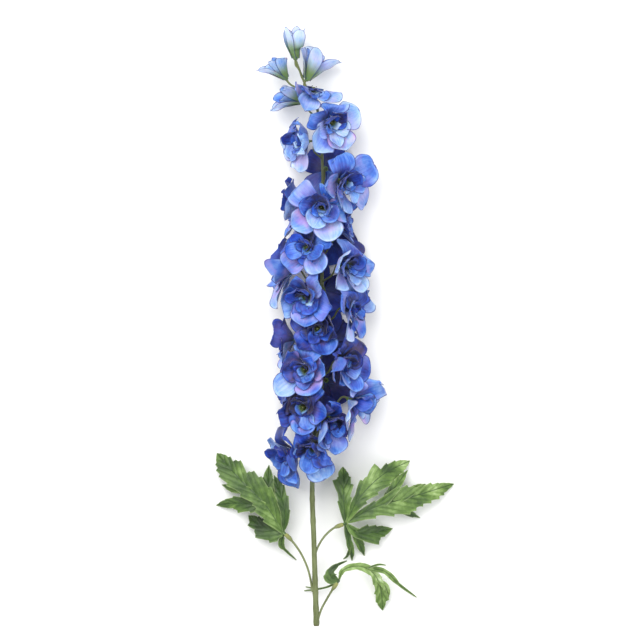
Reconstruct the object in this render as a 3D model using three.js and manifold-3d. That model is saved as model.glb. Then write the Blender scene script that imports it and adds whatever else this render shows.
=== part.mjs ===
// A cut delphinium spike, laid down on a table. Millimetres, +Z up from the table, +Y along the spike to
// its tip. The origin is on the table, under the middle of the spike's box.
import * as THREE from "three";
import { mergeVertices } from "three/addons/utils/BufferGeometryUtils.js";
import Module from "manifold-3d";

const wasm = await Module();
wasm.setup();

const rad = THREE.MathUtils.degToRad;
const UP_SPIKE = new THREE.Vector3(0, 1, 0);

// ---------- driving dimensions, in millimetres and degrees ----------

// The stem's centre line, from its cut end to the tip: x, y, z.
const STEM_LINE = [
  [-23, -359, 26],
  [-26, -257, 31],
  [-28, -190, 35],
  [-24, -112, 38],
  [-19, -11, 39],
  [-16, 73, 39],
  [-16, 204, 37],
  [-22, 262, 36],
  [-36, 290, 35],
  [-48, 321, 37],
];
const STEM_FOOT_RADIUS = 3.4;
const STEM_TIP_RADIUS = 1.2;
const STEM_SIDES = 6;
const STEM_STEPS = 14;

const PEDICEL_SIDES = 4;
const PETIOLE_SIDES = 5;
const CUP_SIDES = 5;
const PEDICEL_RADIUS = 1.5;
const PEDICEL_DROP = 20; // how far below its bloom a pedicel leaves the stem
const PEDICEL_BACK = 7; // how far behind its bloom a pedicel lines up with the bloom's axis
const PEDICEL_BEND = 3; // how far out from a straight line a pedicel curves
const PEDICEL_BEND_AT = 0.45; // the share of the way along it where it curves so
const PEDICEL_RINGS = [0, 0.45, 0.8, 1]; // shares of its length
const EYE_RADIUS = 2.8;
const EYE_START = 3; // how far in front of its seat a bloom's eye starts and ends
const EYE_TIP = 13;
const EYE_TIP_RADIUS = 0.8;
const PETIOLE_RADIUS = 1.3;
const PETIOLE_RINGS = [0, 0.35, 0.7, 1]; // shares of its length up to its thick end
const SOCKET_RADIUS = 2.7; // the thick end of a leaf's stalk
const SOCKET_MOUTH_RADIUS = 2.2;
const SOCKET_LENGTH = 11;

const CLEARANCE = 0.35; // round the stem, its pedicels and eyes
const BLOOM_GAP = 0.3; // between any two blooms
const CUP_BACK = 1; // the cup that a bloom's petals grow from: its ends behind and in front of the seat
const CUP_FRONT = 5;
const CUP_BACK_RADIUS = 3;
const CUP_FRONT_RADIUS = 4.9;
const CLAW_RADIUS = 2.7; // where petals start inside the cup
const PETAL_RIB = 1.3; // a petal's thickness at its midrib; it thins out to the edge
const PETAL_TWIST = 13; // degrees: one side of a petal over its neighbour, the other side under
const PETAL_CUPPING = 16; // degrees that a petal's sides rise towards the eye
const PETAL_STRAY = 10; // degrees either way that a petal strays from an even spread
const OPENING_STRAY = 13; // degrees either way that a petal's tip opens more or less
const LENGTH_STRAY = 0.12; // share by which a petal is longer or shorter
const WIDTH_STRAY = 0.13;
const TIP_ROUNDING = 0.13; // how far a petal's tip corners lie behind its tip, as a share of its length
const TIP_ROUNDING_LIMIT = 0.6; // the same, as a share of its last step
const TIP_ROUNDING_POWER = 6; // the higher, the nearer the tip that the rounding starts
const TURN_STEP = 2; // degrees between the directions that a petal tries, to stay inside its walls
const TURN_STEPS = 26; // so it turns by 52 degrees at most
const STEP_SHARES = [1, 0.85, 0.7, 0.55, 0.4, 0.25, 0.1]; // of the length, where no turn is enough
const LEAF_RIB = 1.5;
const LEAF_FOLD = 14; // degrees that a lobe's sides rise from its midrib
const HUB_RADIUS = 2.2; // where the lobes of a leaf meet
const HUB_SUNK = 2; // how far the hub goes into its stalk's thick end
const HUB_LENGTH = 5; // how far it stands out of it
const LOBES_MEET = 0.7; // the share of that length where the lobes' midribs start
const STEM_ROOM = 6.5; // petals stay this far out from the stem's centre line
const SHINGLE = 1.1; // how steeply a bloom's lower petals lap over the bloom below it
const REACH_BETWEEN = 120; // blooms further apart than this never meet
const CELL_DEPTH = 0.35; // the middle of a bloom's space, in front of its seat, as a share of its petal length
const TABLE_ROOM = 0.05; // petals pressed on the table keep their middle surface this far up
const SEEDS = { bloom: 100, whorl: 20, petal: 4 }; // steps between the draws of blooms, whorls and petals

// The whorls of petals of a bloom. length and width are shares of the bloom's petal length. open is a petal's
// angle from the bloom's axis at its root, middle and tip. from and turn say where the whorl starts on the
// axis and how far it is turned round it. room is its clearance to the bloom's walls. rows are its cross rows.
// stray is how freely its petals stray from an even whorl, and hood is how many degrees more the petals below
// the eye open, and those above it less.
const OUTER = {
  count: 5,
  length: 1,
  width: 0.42,
  open: [42, 74, 86],
  from: 1,
  turn: 0,
  room: 0.9,
  rows: [0, 0.42, 0.8, 1],
  stray: 1,
  hood: 6,
};
const INNER = {
  ...OUTER,
  length: 0.68,
  width: 0.27,
  open: [22, 46, 64],
  from: 4,
  turn: 36,
  room: 3.2,
  rows: [0, 0.55, 1],
  stray: 1.6,
  hood: 16,
};
const HALF_OUTER = { ...OUTER, width: 0.2, open: [26, 38, 52], hood: 0 };
const HALF_INNER = {
  ...INNER,
  count: 4,
  length: 0.72,
  width: 0.17,
  open: [14, 24, 36],
  room: 2.5,
  stray: 1,
  hood: 0,
};
const BUD_OUTER = { ...OUTER, width: 0.2, open: [26, 17, 16], stray: 0.6, hood: 0 };
const STAGES = {
  open: [OUTER, INNER],
  pressed: [OUTER, INNER],
  half: [HALF_OUTER, HALF_INNER],
  bud: [BUD_OUTER],
};

// Each bloom: the y of its seat, its angle round the stem from straight up (+ to the right), its distance out
// from the stem's centre line, the tilt of its face towards the spike's tip, its petal length, and the turn of
// its petals about its own axis.
const BLOOMS = [
  { name: "bud_top", y: 321, round: -16, out: 0, tilt: 84, petal: 38, turn: 0, stage: "bud" },
  { name: "bud_left", y: 297, round: -72, out: 21, tilt: 54, petal: 38, turn: 8, stage: "half" },
  { name: "bud_right", y: 296, round: 72, out: 4, tilt: 62, petal: 48, turn: 40, stage: "half" },
  { name: "bloom_01", y: 270, round: -78, out: 15, tilt: 24, petal: 40, turn: 5, stage: "half" },
  { name: "bloom_02", y: 281, round: 14, out: 13, tilt: 22, petal: 37, turn: 54, stage: "open" },
  { name: "bloom_03", y: 246, round: 26, out: 21, tilt: -8, petal: 42, turn: 0, stage: "open" },
  { name: "bloom_04", y: 222, round: -60, out: 18, tilt: 0, petal: 39, turn: 34, stage: "open" },
  { name: "bloom_05", y: 175, round: 44, out: 27, tilt: -8, petal: 44, turn: 50, stage: "open" },
  { name: "bloom_06", y: 190, round: 168, out: 18, tilt: 5, petal: 35, turn: 0, stage: "pressed" },
  { name: "bloom_07", y: 144, round: -96, out: 22, tilt: 4, petal: 38, turn: 30, stage: "open" },
  { name: "bloom_08", y: 144, round: -3, out: 27, tilt: -6, petal: 46, turn: 25, stage: "open" },
  { name: "bloom_09", y: 104, round: 150, out: 21, tilt: 0, petal: 37, turn: 10, stage: "pressed" },
  { name: "bloom_10", y: 95, round: -29, out: 27, tilt: 2, petal: 41, turn: 0, stage: "open" },
  { name: "bloom_11", y: 74, round: 46, out: 32, tilt: -6, petal: 42, turn: 8, stage: "open" },
  { name: "bloom_12", y: 68, round: -88, out: 33, tilt: 4, petal: 45, turn: 30, stage: "open" },
  { name: "bloom_13", y: 44, round: 175, out: 20, tilt: 0, petal: 36, turn: 18, stage: "pressed" },
  { name: "bloom_14", y: 38, round: -28, out: 29, tilt: -12, petal: 43, turn: 40, stage: "open" },
  { name: "bloom_15", y: 22, round: 60, out: 32, tilt: 2, petal: 43, turn: 0, stage: "open" },
  { name: "bloom_16", y: -15, round: -92, out: 29, tilt: 0, petal: 41, turn: 0, stage: "open" },
  { name: "bloom_17", y: -18, round: 146, out: 22, tilt: 0, petal: 38, turn: 22, stage: "pressed" },
  { name: "bloom_18", y: -49, round: -26, out: 28, tilt: -8, petal: 43, turn: 10, stage: "open" },
  { name: "bloom_19", y: -42, round: 46, out: 33, tilt: -8, petal: 42, turn: 34, stage: "open" },
  { name: "bloom_20", y: -64, round: 154, out: 23, tilt: 0, petal: 38, turn: 12, stage: "pressed" },
  { name: "bloom_21", y: -86, round: 74, out: 39, tilt: -20, petal: 48, turn: 30, stage: "open" },
  { name: "bloom_22", y: -95, round: -24, out: 28, tilt: -4, petal: 41, turn: 36, stage: "open" },
  { name: "bloom_23", y: -108, round: 32, out: 25, tilt: -30, petal: 43, turn: 20, stage: "open" },
  { name: "bloom_24", y: -116, round: 160, out: 21, tilt: -6, petal: 37, turn: 0, stage: "pressed" },
  { name: "bloom_25", y: -140, round: -2, out: 27, tilt: -26, petal: 43, turn: 24, stage: "open" },
  { name: "bloom_26", y: -148, round: -58, out: 26, tilt: -20, petal: 44, turn: 60, stage: "open" },
  { name: "bloom_27", y: -68, round: -84, out: 22, tilt: -4, petal: 39, turn: 38, stage: "open" },
  { name: "bloom_28", y: 128, round: 76, out: 14, tilt: 2, petal: 33, turn: 32, stage: "open" },
  { name: "bloom_29", y: -2, round: -6, out: 20, tilt: 0, petal: 38, turn: 14, stage: "open" },
];

// Leaf stalks: points from the stem's centre line to the middle of the leaf.
const PETIOLES = {
  leaf_left: [[-27, -318, 27], [-33, -291, 27], [-42, -271, 26], [-53, -256, 25], [-60, -249, 24]],
  leaf_right: [[-24, -303, 28], [-25, -276, 28], [-16, -255, 28], [-3, -242, 27], [9, -237, 26]],
  leaf_low: [[-22, -354, 26], [-17, -339, 26], [-10, -326, 25], [-4, -316, 25], [2, -307, 25]],
};

// Leaf lobes. rib is the midrib past its root. The root is the leaf's middle or, where on is given, the point
// that share of the way along that earlier lobe. left and right are the outline, as pairs of a share of the way
// along the rib and a width from the rib, with a tooth at each corner.
const LEAVES = {
  leaf_left: [
    {
      rib: [[-84, -214, 27], [-114, -184, 20], [-143, -152, 1]],
      left: [[0, 3], [0.3, 16], [0.36, 10], [0.6, 13], [0.78, 17], [0.9, 10], [1, 0.4]],
      right: [[0, 2], [0.3, 17], [0.6, 20], [0.64, 13], [0.78, 15], [0.82, 9], [0.9, 8], [1, 0.4]],
    },
    {
      rib: [[-76, -212, 25], [-80, -190, 20], [-80, -166, 10]],
      left: [[0, 1], [0.4, 8], [0.7, 10], [1, 0.4]],
      right: [[0, 1], [0.4, 7], [0.7, 7], [1, 0.4]],
    },
    {
      rib: [[-61, -224, 30], [-67, -198, 27], [-74, -178, 16]],
      left: [[0, 1], [0.3, 5], [0.7, 6], [1, 0.4]],
      right: [[0, 1], [0.3, 6], [0.7, 8], [1, 0.4]],
    },
    {
      on: [0, 0.3],
      rib: [[-104, -213, 22], [-122, -212, 13], [-144, -215, 1]],
      left: [[0, 4], [0.4, 11], [0.55, 10], [0.6, 7], [1, 0.4]],
      right: [[0, 4], [0.4, 9], [0.75, 6], [1, 0.4]],
    },
    {
      on: [0, 0.5],
      rib: [[-120, -194, 17], [-137, -190, 6]],
      left: [[0, 3], [0.5, 6], [1, 0.4]],
      right: [[0, 3], [0.5, 5], [1, 0.4]],
    },
    {
      rib: [[-78, -244, 20], [-92, -238, 12], [-105, -227, 1]],
      left: [[0, 6], [0.2, 13], [0.4, 15], [0.55, 14], [0.6, 9], [0.8, 9], [0.84, 5], [1, 0.4]],
      right: [[0, 2], [0.4, 11], [0.7, 9], [1, 0.4]],
    },
    {
      rib: [[-65, -262, 17], [-58, -271, 10], [-47, -281, 1]],
      left: [[0, 1], [0.35, 4], [0.5, 2], [1, 0.5]],
      right: [[0, 1], [0.35, 4], [0.5, 1.5], [1, 0.5]],
    },
  ],
  leaf_right: [
    {
      rib: [[10, -210, 29], [10, -190, 24], [9, -168, 12]],
      left: [[0, 2], [0.5, 8], [0.72, 13], [0.76, 7], [0.88, 6], [1, 0.4]],
      right: [[0, 1], [0.5, 10], [0.76, 9], [0.88, 5], [1, 0.4]],
    },
    {
      rib: [[28, -206, 31], [56, -178, 26], [90, -161, 3]],
      left: [[0, 1], [0.3, 7], [0.48, 13], [0.5, 10], [0.62, 16], [0.64, 8], [0.8, 8], [1, 0.4]],
      right: [[0, 1], [0.3, 10], [0.62, 15], [0.8, 11], [1, 0.4]],
    },
    {
      rib: [[48, -216, 28], [92, -204, 20], [143, -189, 1]],
      left: [[0, 1], [0.3, 7], [0.55, 16], [0.64, 11], [0.85, 7], [0.93, 4], [1, 0.4]],
      right: [[0, 1], [0.3, 13], [0.55, 19], [0.64, 14], [0.85, 10], [0.93, 5], [1, 0.4]],
    },
    {
      on: [2, 0.36],
      rib: [[72, -192, 25], [87, -172, 14]],
      left: [[0, 4], [0.5, 7], [1, 0.4]],
      right: [[0, 4], [0.5, 6], [1, 0.4]],
    },
    {
      on: [2, 0.5],
      rib: [[94, -196, 18], [109, -189, 9]],
      left: [[0, 4], [0.6, 5], [1, 0.4]],
      right: [[0, 4], [0.6, 4], [1, 0.4]],
    },
    {
      on: [2, 0.42],
      rib: [[84, -222, 16], [102, -230, 2]],
      left: [[0, 4], [0.5, 5], [1, 0.4]],
      right: [[0, 4], [0.5, 4], [1, 0.4]],
    },
    {
      rib: [[26, -247, 22], [46, -247, 13], [69, -243, 1]],
      left: [[0, 1], [0.3, 6], [0.34, 9], [0.66, 8], [1, 0.4]],
      right: [[0, 1], [0.34, 8], [0.66, 14], [0.7, 9], [1, 0.4]],
    },
    {
      on: [6, 0.2],
      rib: [[28, -260, 13], [35, -276, 1]],
      left: [[0, 3], [0.5, 6], [1, 0.4]],
      right: [[0, 3], [0.5, 4], [1, 0.4]],
    },
    {
      rib: [[16, -258, 18], [19, -270, 9], [20, -282, 1]],
      left: [[0, 2], [0.4, 4], [0.7, 4], [1, 0.4]],
      right: [[0, 2], [0.4, 3], [0.7, 3], [1, 0.4]],
    },
    {
      on: [8, 0.6],
      rib: [[14, -276, 6], [9, -280, 2]],
      left: [[0, 1], [0.5, 2], [1, 0.4]],
      right: [[0, 1], [0.5, 2], [1, 0.4]],
    },
  ],
  leaf_low: [
    {
      rib: [[9, -292, 30], [28, -287, 32], [44, -294, 29], [54, -313, 16], [57, -342, 1]],
      left: [[0, 1], [0.15, 3], [0.28, 4], [0.5, 5], [0.72, 5], [0.86, 9], [0.88, 5], [1, 0.4]],
      right: [[0, 1], [0.15, 3], [0.28, 4], [0.5, 5], [0.72, 7], [0.86, 8], [1, 0.4]],
    },
    {
      on: [0, 0.6],
      rib: [[60, -312, 17], [64, -327, 6]],
      left: [[0, 2], [0.6, 4], [1, 0.4]],
      right: [[0, 2], [0.6, 4], [1, 0.4]],
    },
    {
      on: [0, 0.4],
      rib: [[58, -293, 27], [78, -311, 14], [98, -326, 1]],
      left: [[0, 2], [0.3, 3], [0.6, 2], [1, 0.6]],
      right: [[0, 2], [0.3, 3], [0.6, 2], [1, 0.6]],
    },
    {
      on: [0, 0.4],
      rib: [[52, -285, 32], [61, -286, 28]],
      left: [[0, 1], [0.5, 1.5], [1, 0.6]],
      right: [[0, 1], [0.5, 1.5], [1, 0.6]],
    },
    {
      rib: [[-5, -301, 28], [-6, -294, 28], [2, -286, 25], [14, -281, 20]],
      left: [[0, 1], [0.25, 9], [0.45, 4], [0.7, 2], [1, 0.6]],
      right: [[0, 1], [0.25, 8], [0.45, 4], [0.7, 2], [1, 0.6]],
    },
    {
      rib: [[-8, -312, 16], [-24, -316, 9], [-38, -318, 1]],
      left: [[0, 1], [0.5, 1.2], [1, 0.6]],
      right: [[0, 1], [0.5, 1.2], [1, 0.6]],
    },
    {
      on: [5, 0.65],
      rib: [[-31, -314, 5], [-36, -313, 3]],
      left: [[0, 0.8], [1, 0.6]],
      right: [[0, 0.8], [1, 0.6]],
    },
  ],
};

// ---------- small tools ----------

const vector = (x, y, z) => new THREE.Vector3(x, y, z);

// An even spread of values from -1 to 1, the same for the same number each time: the digits far down in a
// sine's value.
function draw(seed) {
  const stride = 12.9898;
  const farDown = 43758.5453;
  const wave = Math.sin(seed * stride) * farDown;
  return 2 * (wave - Math.floor(wave)) - 1;
}

// The value at t, from 0 to 1, of a smooth curve through a start, a middle and an end value.
function through([start, middle, end], t) {
  return start * (1 - t) * (1 - 2 * t) + 4 * middle * t * (1 - t) + end * t * (2 * t - 1);
}

function solidOf(points, triangles) {
  const vertProperties = new Float32Array(points.flatMap((p) => [p.x, p.y, p.z]));
  const triVerts = new Uint32Array(triangles.flat());
  return new wasm.Manifold(new wasm.Mesh({ numProp: 3, vertProperties, triVerts }));
}

function geometryOf(solid) {
  const mesh = solid.getMesh();
  const geometry = new THREE.BufferGeometry();
  geometry.setAttribute("position", new THREE.BufferAttribute(mesh.vertProperties, 3));
  geometry.setIndex(new THREE.BufferAttribute(mesh.triVerts, 1));
  geometry.computeVertexNormals();
  return geometry;
}

const joined = (solids) => wasm.Manifold.union(solids);

function largestPiece(solid) {
  return solid.decompose().sort((a, b) => b.volume() - a.volume())[0];
}

// A ring of a tube, round a curve's point at u.
function ring(curve, u, radius) {
  const within = Math.min(u, 1);
  const tangent = curve.getTangentAt(within);
  const centre = curve.getPointAt(within).addScaledVector(tangent, (u - within) * curve.getLength());
  return { centre, tangent, radius };
}

// A closed tube through rings, each with a centre, a tangent and a radius.
function tube(rings, sides) {
  const points = [];
  const triangles = [];
  const steep = 0.9;
  let across = Math.abs(rings[0].tangent.z) < steep ? vector(0, 0, 1) : vector(1, 0, 0);
  for (const { centre, tangent, radius } of rings) {
    across = across.clone().addScaledVector(tangent, -across.dot(tangent)).normalize();
    const other = new THREE.Vector3().crossVectors(tangent, across);
    for (let s = 0; s < sides; s++) {
      const turn = (2 * Math.PI * s) / sides;
      const side = across.clone().multiplyScalar(Math.cos(turn)).addScaledVector(other, Math.sin(turn));
      points.push(centre.clone().addScaledVector(side, radius));
    }
  }
  const last = (rings.length - 1) * sides;
  for (let start = 0; start < last; start += sides)
    for (let s = 0; s < sides; s++) {
      const a = start + s;
      const b = start + ((s + 1) % sides);
      triangles.push([a, b, b + sides], [a, b + sides, a + sides]);
    }
  for (let s = 1; s < sides - 1; s++) {
    triangles.push([0, s + 1, s], [last, last + s, last + s + 1]);
  }
  return solidOf(points, triangles);
}

// ---------- the stem, its pedicels and the blooms' eyes ----------

// The point of the stem's centre line at a height y.
function stemAt(y) {
  const last = STEM_LINE.length - 1;
  let k = 0;
  while (k < last - 1 && y > STEM_LINE[k + 1][1]) k++;
  const before = STEM_LINE[Math.max(k - 1, 0)];
  const a = STEM_LINE[k];
  const b = STEM_LINE[k + 1];
  const after = STEM_LINE[Math.min(k + 2, last)];
  const span = b[1] - a[1];
  const t = (y - a[1]) / span;
  const ease = 3 * t ** 2 - 2 * t ** 3;
  const leave = t ** 3 - 2 * t ** 2 + t;
  const arrive = t ** 3 - t ** 2;
  const at = (axis) => {
    const slopeA = ((b[axis] - before[axis]) / (b[1] - before[1])) * span;
    const slopeB = ((after[axis] - a[axis]) / (after[1] - a[1])) * span;
    return (1 - ease) * a[axis] + ease * b[axis] + leave * slopeA + arrive * slopeB;
  };
  return vector(at(0), y, at(2));
}

// Where a bloom sits and how it faces: its seat, its axis, and the two directions across the axis.
function place(bloom) {
  const outward = vector(Math.sin(rad(bloom.round)), 0, Math.cos(rad(bloom.round)));
  const seat = stemAt(bloom.y).addScaledVector(outward, bloom.out);
  const face = outward.clone().multiplyScalar(Math.cos(rad(bloom.tilt)));
  face.addScaledVector(UP_SPIKE, Math.sin(rad(bloom.tilt)));
  const top = UP_SPIKE.clone().addScaledVector(face, -UP_SPIKE.dot(face)).normalize();
  const side = new THREE.Vector3().crossVectors(top, face);
  return { outward, seat, face, top, side };
}

for (const bloom of BLOOMS) Object.assign(bloom, place(bloom));

const isOpen = (bloom) => bloom.stage === "open" || bloom.stage === "pressed";

// A bloom's stalk, from inside the stem to the tip of the bloom's eye.
function pedicel(bloom, extra) {
  const along = (f) => bloom.seat.clone().addScaledVector(bloom.face, f);
  const foot = stemAt(bloom.y - PEDICEL_DROP);
  const bend = foot.clone().lerp(bloom.seat, PEDICEL_BEND_AT).addScaledVector(bloom.outward, PEDICEL_BEND);
  const stalk = new THREE.CatmullRomCurve3([foot, bend, along(-PEDICEL_BACK), along(EYE_START)]);
  const rings = PEDICEL_RINGS.map((u) => ring(stalk, u, PEDICEL_RADIUS + extra));
  if (isOpen(bloom)) {
    const eye = new THREE.LineCurve3(along(EYE_START), along(EYE_TIP + extra));
    rings.push(ring(eye, 0.5, EYE_RADIUS + extra), ring(eye, 1, EYE_TIP_RADIUS + extra));
  }
  return tube(rings, PEDICEL_SIDES);
}

// A leaf's stalk, with its thick end, in which the leaf sits.
function petiole(points, extra) {
  const line = new THREE.CatmullRomCurve3(points.map((p) => vector(...p)));
  const socketStart = 1 - SOCKET_LENGTH / line.getLength();
  const socketMiddle = (1 + socketStart) / 2;
  const rings = PETIOLE_RINGS.map((u) => ring(line, u * socketStart, PETIOLE_RADIUS + extra));
  rings.push(ring(line, socketMiddle, SOCKET_RADIUS + extra));
  rings.push(ring(line, 1 + extra / line.getLength(), SOCKET_MOUTH_RADIUS + extra));
  return tube(rings, PETIOLE_SIDES);
}

// The whole green body, larger all round by extra.
function stemSolid(extra) {
  const rings = [];
  const nearby = 0.01;
  for (let i = 0; i <= STEM_STEPS; i++) {
    const t = i / STEM_STEPS;
    const at = (u) => stemAt(THREE.MathUtils.lerp(STEM_LINE[0][1], STEM_LINE.at(-1)[1], u));
    const tangent = at(t + nearby).sub(at(t - nearby)).normalize();
    const radius = THREE.MathUtils.lerp(STEM_FOOT_RADIUS, STEM_TIP_RADIUS, t) + extra;
    rings.push({ centre: at(t), tangent, radius });
  }
  const pieces = [tube(rings, STEM_SIDES)];
  for (const bloom of BLOOMS) pieces.push(pedicel(bloom, extra));
  for (const points of Object.values(PETIOLES)) pieces.push(petiole(points, extra));
  return joined(pieces);
}

// ---------- blooms ----------

// The flat walls that a bloom's petals stay inside: points p with normal . p <= offset.
function wallsOf(bloom) {
  const centreOf = (b) => b.seat.clone().addScaledVector(b.face, CELL_DEPTH * b.petal);
  const centre = centreOf(bloom);
  const walls = [{ normal: vector(0, 0, -1), offset: -TABLE_ROOM, table: true }];
  if (bloom.out > STEM_ROOM) {
    const normal = bloom.outward.clone().negate();
    walls.push({ normal, offset: normal.dot(stemAt(bloom.y)) - STEM_ROOM });
  }
  for (const other of BLOOMS) {
    const otherCentre = centreOf(other);
    if (other === bloom || centre.distanceTo(otherCentre) > REACH_BETWEEN) continue;
    const upper = bloom.y > other.y ? bloom : other;
    const lower = upper === bloom ? other : bloom;
    const down = centreOf(lower).sub(centreOf(upper));
    const between = down.length();
    down.normalize();
    const share = 0.5 + (upper.petal ** 2 - lower.petal ** 2) / (2 * between ** 2);
    const middle = centreOf(upper).addScaledVector(down, share * between);
    const outward = upper.face.clone().add(lower.face).normalize();
    const normal = down.clone().addScaledVector(outward, -SHINGLE * Math.abs(down.y)).normalize();
    if (bloom === lower) normal.negate();
    walls.push({ normal, offset: normal.dot(middle) - BLOOM_GAP / 2 });
  }
  return walls;
}

// How far a point is outside the walls, when all but the table are moved in by room.
function outside(walls, p, room) {
  return Math.max(...walls.map((w) => w.normal.dot(p) - w.offset + (w.table ? 0 : room)));
}

// From a point, a step in a direction, turned towards or away from the front by the least angle that keeps it
// inside the walls. It is shorter where no turn within the limit does.
function stepInside(walls, from, direction, front, length, room) {
  const at = (angle, reach) => {
    const turned = direction.clone().multiplyScalar(Math.cos(angle)).addScaledVector(front, Math.sin(angle));
    return from.clone().addScaledVector(turned, reach);
  };
  for (const reach of STEP_SHARES.map((share) => share * length))
    for (let k = 0; k <= TURN_STEPS; k++)
      for (const sign of [1, -1]) {
        const angle = sign * k * rad(TURN_STEP);
        if (outside(walls, at(angle, reach), room) <= 0) return at(angle, reach);
      }
  return at(0, STEP_SHARES.at(-1) * length);
}

// Half a petal's width at u along it, as a share of its widest.
function petalWidth(u) {
  const widest = 0.66;
  const claw = 0.08;
  const tip = 0.53;
  const slimness = 1.5;
  if (u < widest) return claw + (1 - claw) * Math.sin((u / widest) * (Math.PI / 2)) ** slimness;
  return Math.sqrt(1 - (1 - tip ** 2) * ((u - widest) / (1 - widest)) ** 2);
}

// The middle surface of one petal: rows of left, middle and right points.
function petalRows(bloom, walls, whorl, k, seed) {
  const { stray } = whorl;
  const turn = rad(bloom.turn + whorl.turn + (360 / whorl.count) * k + stray * PETAL_STRAY * draw(seed));
  const radial = bloom.top.clone().multiplyScalar(Math.cos(turn)).addScaledVector(bloom.side, Math.sin(turn));
  const length = bloom.petal * whorl.length * (1 + stray * LENGTH_STRAY * draw(seed + 1));
  const halfWidth = bloom.petal * whorl.width * (1 + stray * WIDTH_STRAY * draw(seed + 2));
  const openMore = stray * OPENING_STRAY * draw(seed + 3) - whorl.hood * radial.dot(UP_SPIKE);
  const rows = [];
  let step = 0;
  let rib = bloom.seat.clone().addScaledVector(bloom.face, whorl.from).addScaledVector(radial, CLAW_RADIUS);
  whorl.rows.forEach((u, i) => {
    const before = whorl.rows[Math.max(i - 1, 0)];
    const angle = rad(through(whorl.open, (u + before) / 2) + openMore * u);
    const along = bloom.face.clone().multiplyScalar(Math.cos(angle)).addScaledVector(radial, Math.sin(angle));
    const front = bloom.face.clone().multiplyScalar(Math.sin(angle)).addScaledVector(radial, -Math.cos(angle));
    if (i > 0) {
      const next = stepInside(walls, rib, along, front, (u - before) * length, whorl.room);
      step = next.distanceTo(rib);
      along.copy(next).sub(rib).normalize();
      rib = next;
    }
    const across = new THREE.Vector3().crossVectors(along, front).normalize();
    const facing = new THREE.Vector3().crossVectors(across, along).normalize();
    const width = halfWidth * petalWidth(u);
    const rounding = TIP_ROUNDING * length * u ** TIP_ROUNDING_POWER;
    const pulledBack = Math.min(rounding, TIP_ROUNDING_LIMIT * step);
    const arm = (sign) => {
      const lift = rad(PETAL_CUPPING + sign * PETAL_TWIST);
      const out = across.clone().multiplyScalar(sign * Math.cos(lift)).addScaledVector(facing, Math.sin(lift));
      const root = rib.clone().addScaledVector(along, -pulledBack);
      return stepInside(walls, root, out, facing, width, whorl.room);
    };
    rows.push([arm(-1), rib, arm(1)]);
  });
  return rows;
}

// A closed blade round rows of left, middle and right points. It is thickest at the middle points and thins out
// to its edge, and both of its faces are split into triangles alike.
function blade(rows, thickness) {
  const points = [];
  const front = [];
  const back = [];
  const add = (p) => points.push(p) - 1;
  rows.forEach(([left, middle, right], i) => {
    const edge = i === 0 || i === rows.length - 1;
    const leftId = add(left);
    const rightId = add(right);
    if (edge) {
      const id = add(middle);
      front.push([leftId, id, rightId]);
      back.push([leftId, id, rightId]);
      return;
    }
    const along = rows[i + 1][1].clone().sub(rows[i - 1][1]);
    const normal = middle.clone().sub(left).cross(along).normalize();
    normal.add(right.clone().sub(middle).cross(along).normalize()).normalize();
    const half = thickness / 2;
    front.push([leftId, add(middle.clone().addScaledVector(normal, half)), rightId]);
    back.push([leftId, add(middle.clone().addScaledVector(normal, -half)), rightId]);
  });
  const triangles = [];
  for (let i = 0; i < rows.length - 1; i++)
    for (let c = 0; c < 2; c++) {
      const corners = (net) => [net[i][c], net[i][c + 1], net[i + 1][c + 1], net[i + 1][c]];
      const split = ([a, b, d, e]) => (c === 0 ? [[a, b, e], [b, d, e]] : [[a, b, d], [a, d, e]]);
      triangles.push(...split(corners(front)));
      triangles.push(...split(corners(back)).map(([p, q, r]) => [p, r, q]));
    }
  return solidOf(points, triangles);
}

function cup(bloom) {
  const at = (f) => bloom.seat.clone().addScaledVector(bloom.face, f);
  const back = { centre: at(-CUP_BACK), tangent: bloom.face, radius: CUP_BACK_RADIUS };
  const front = { centre: at(CUP_FRONT), tangent: bloom.face, radius: CUP_FRONT_RADIUS };
  return tube([back, front], CUP_SIDES);
}

// Everything below the table's surface, for trimming what is pressed flat on it.
function belowTable() {
  const size = 1000;
  const block = new THREE.BoxGeometry(size, size, size).translate(0, 0, -size / 2);
  block.deleteAttribute("normal");
  block.deleteAttribute("uv");
  const { attributes, index } = mergeVertices(block);
  const vertProperties = attributes.position.array;
  const triVerts = new Uint32Array(index.array);
  return new wasm.Manifold(new wasm.Mesh({ numProp: 3, vertProperties, triVerts }));
}

function bloomSolid(bloom, index, clearStem, table) {
  const walls = wallsOf(bloom);
  const pieces = [cup(bloom)];
  STAGES[bloom.stage].forEach((whorl, w) => {
    for (let k = 0; k < whorl.count; k++) {
      const seed = SEEDS.bloom * index + SEEDS.whorl * w + SEEDS.petal * k;
      pieces.push(blade(petalRows(bloom, walls, whorl, k, seed), PETAL_RIB));
    }
  });
  return largestPiece(joined(pieces).subtract(clearStem).subtract(table));
}

// ---------- leaves ----------

// The value at u of an outline given as [u, width] pairs.
function widthAt(outline, u) {
  const after = Math.max(1, outline.findIndex(([at]) => at >= u));
  const [u0, w0] = outline[after - 1];
  const [u1, w1] = outline[after];
  return THREE.MathUtils.lerp(w0, w1, (u - u0) / (u1 - u0));
}

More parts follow.
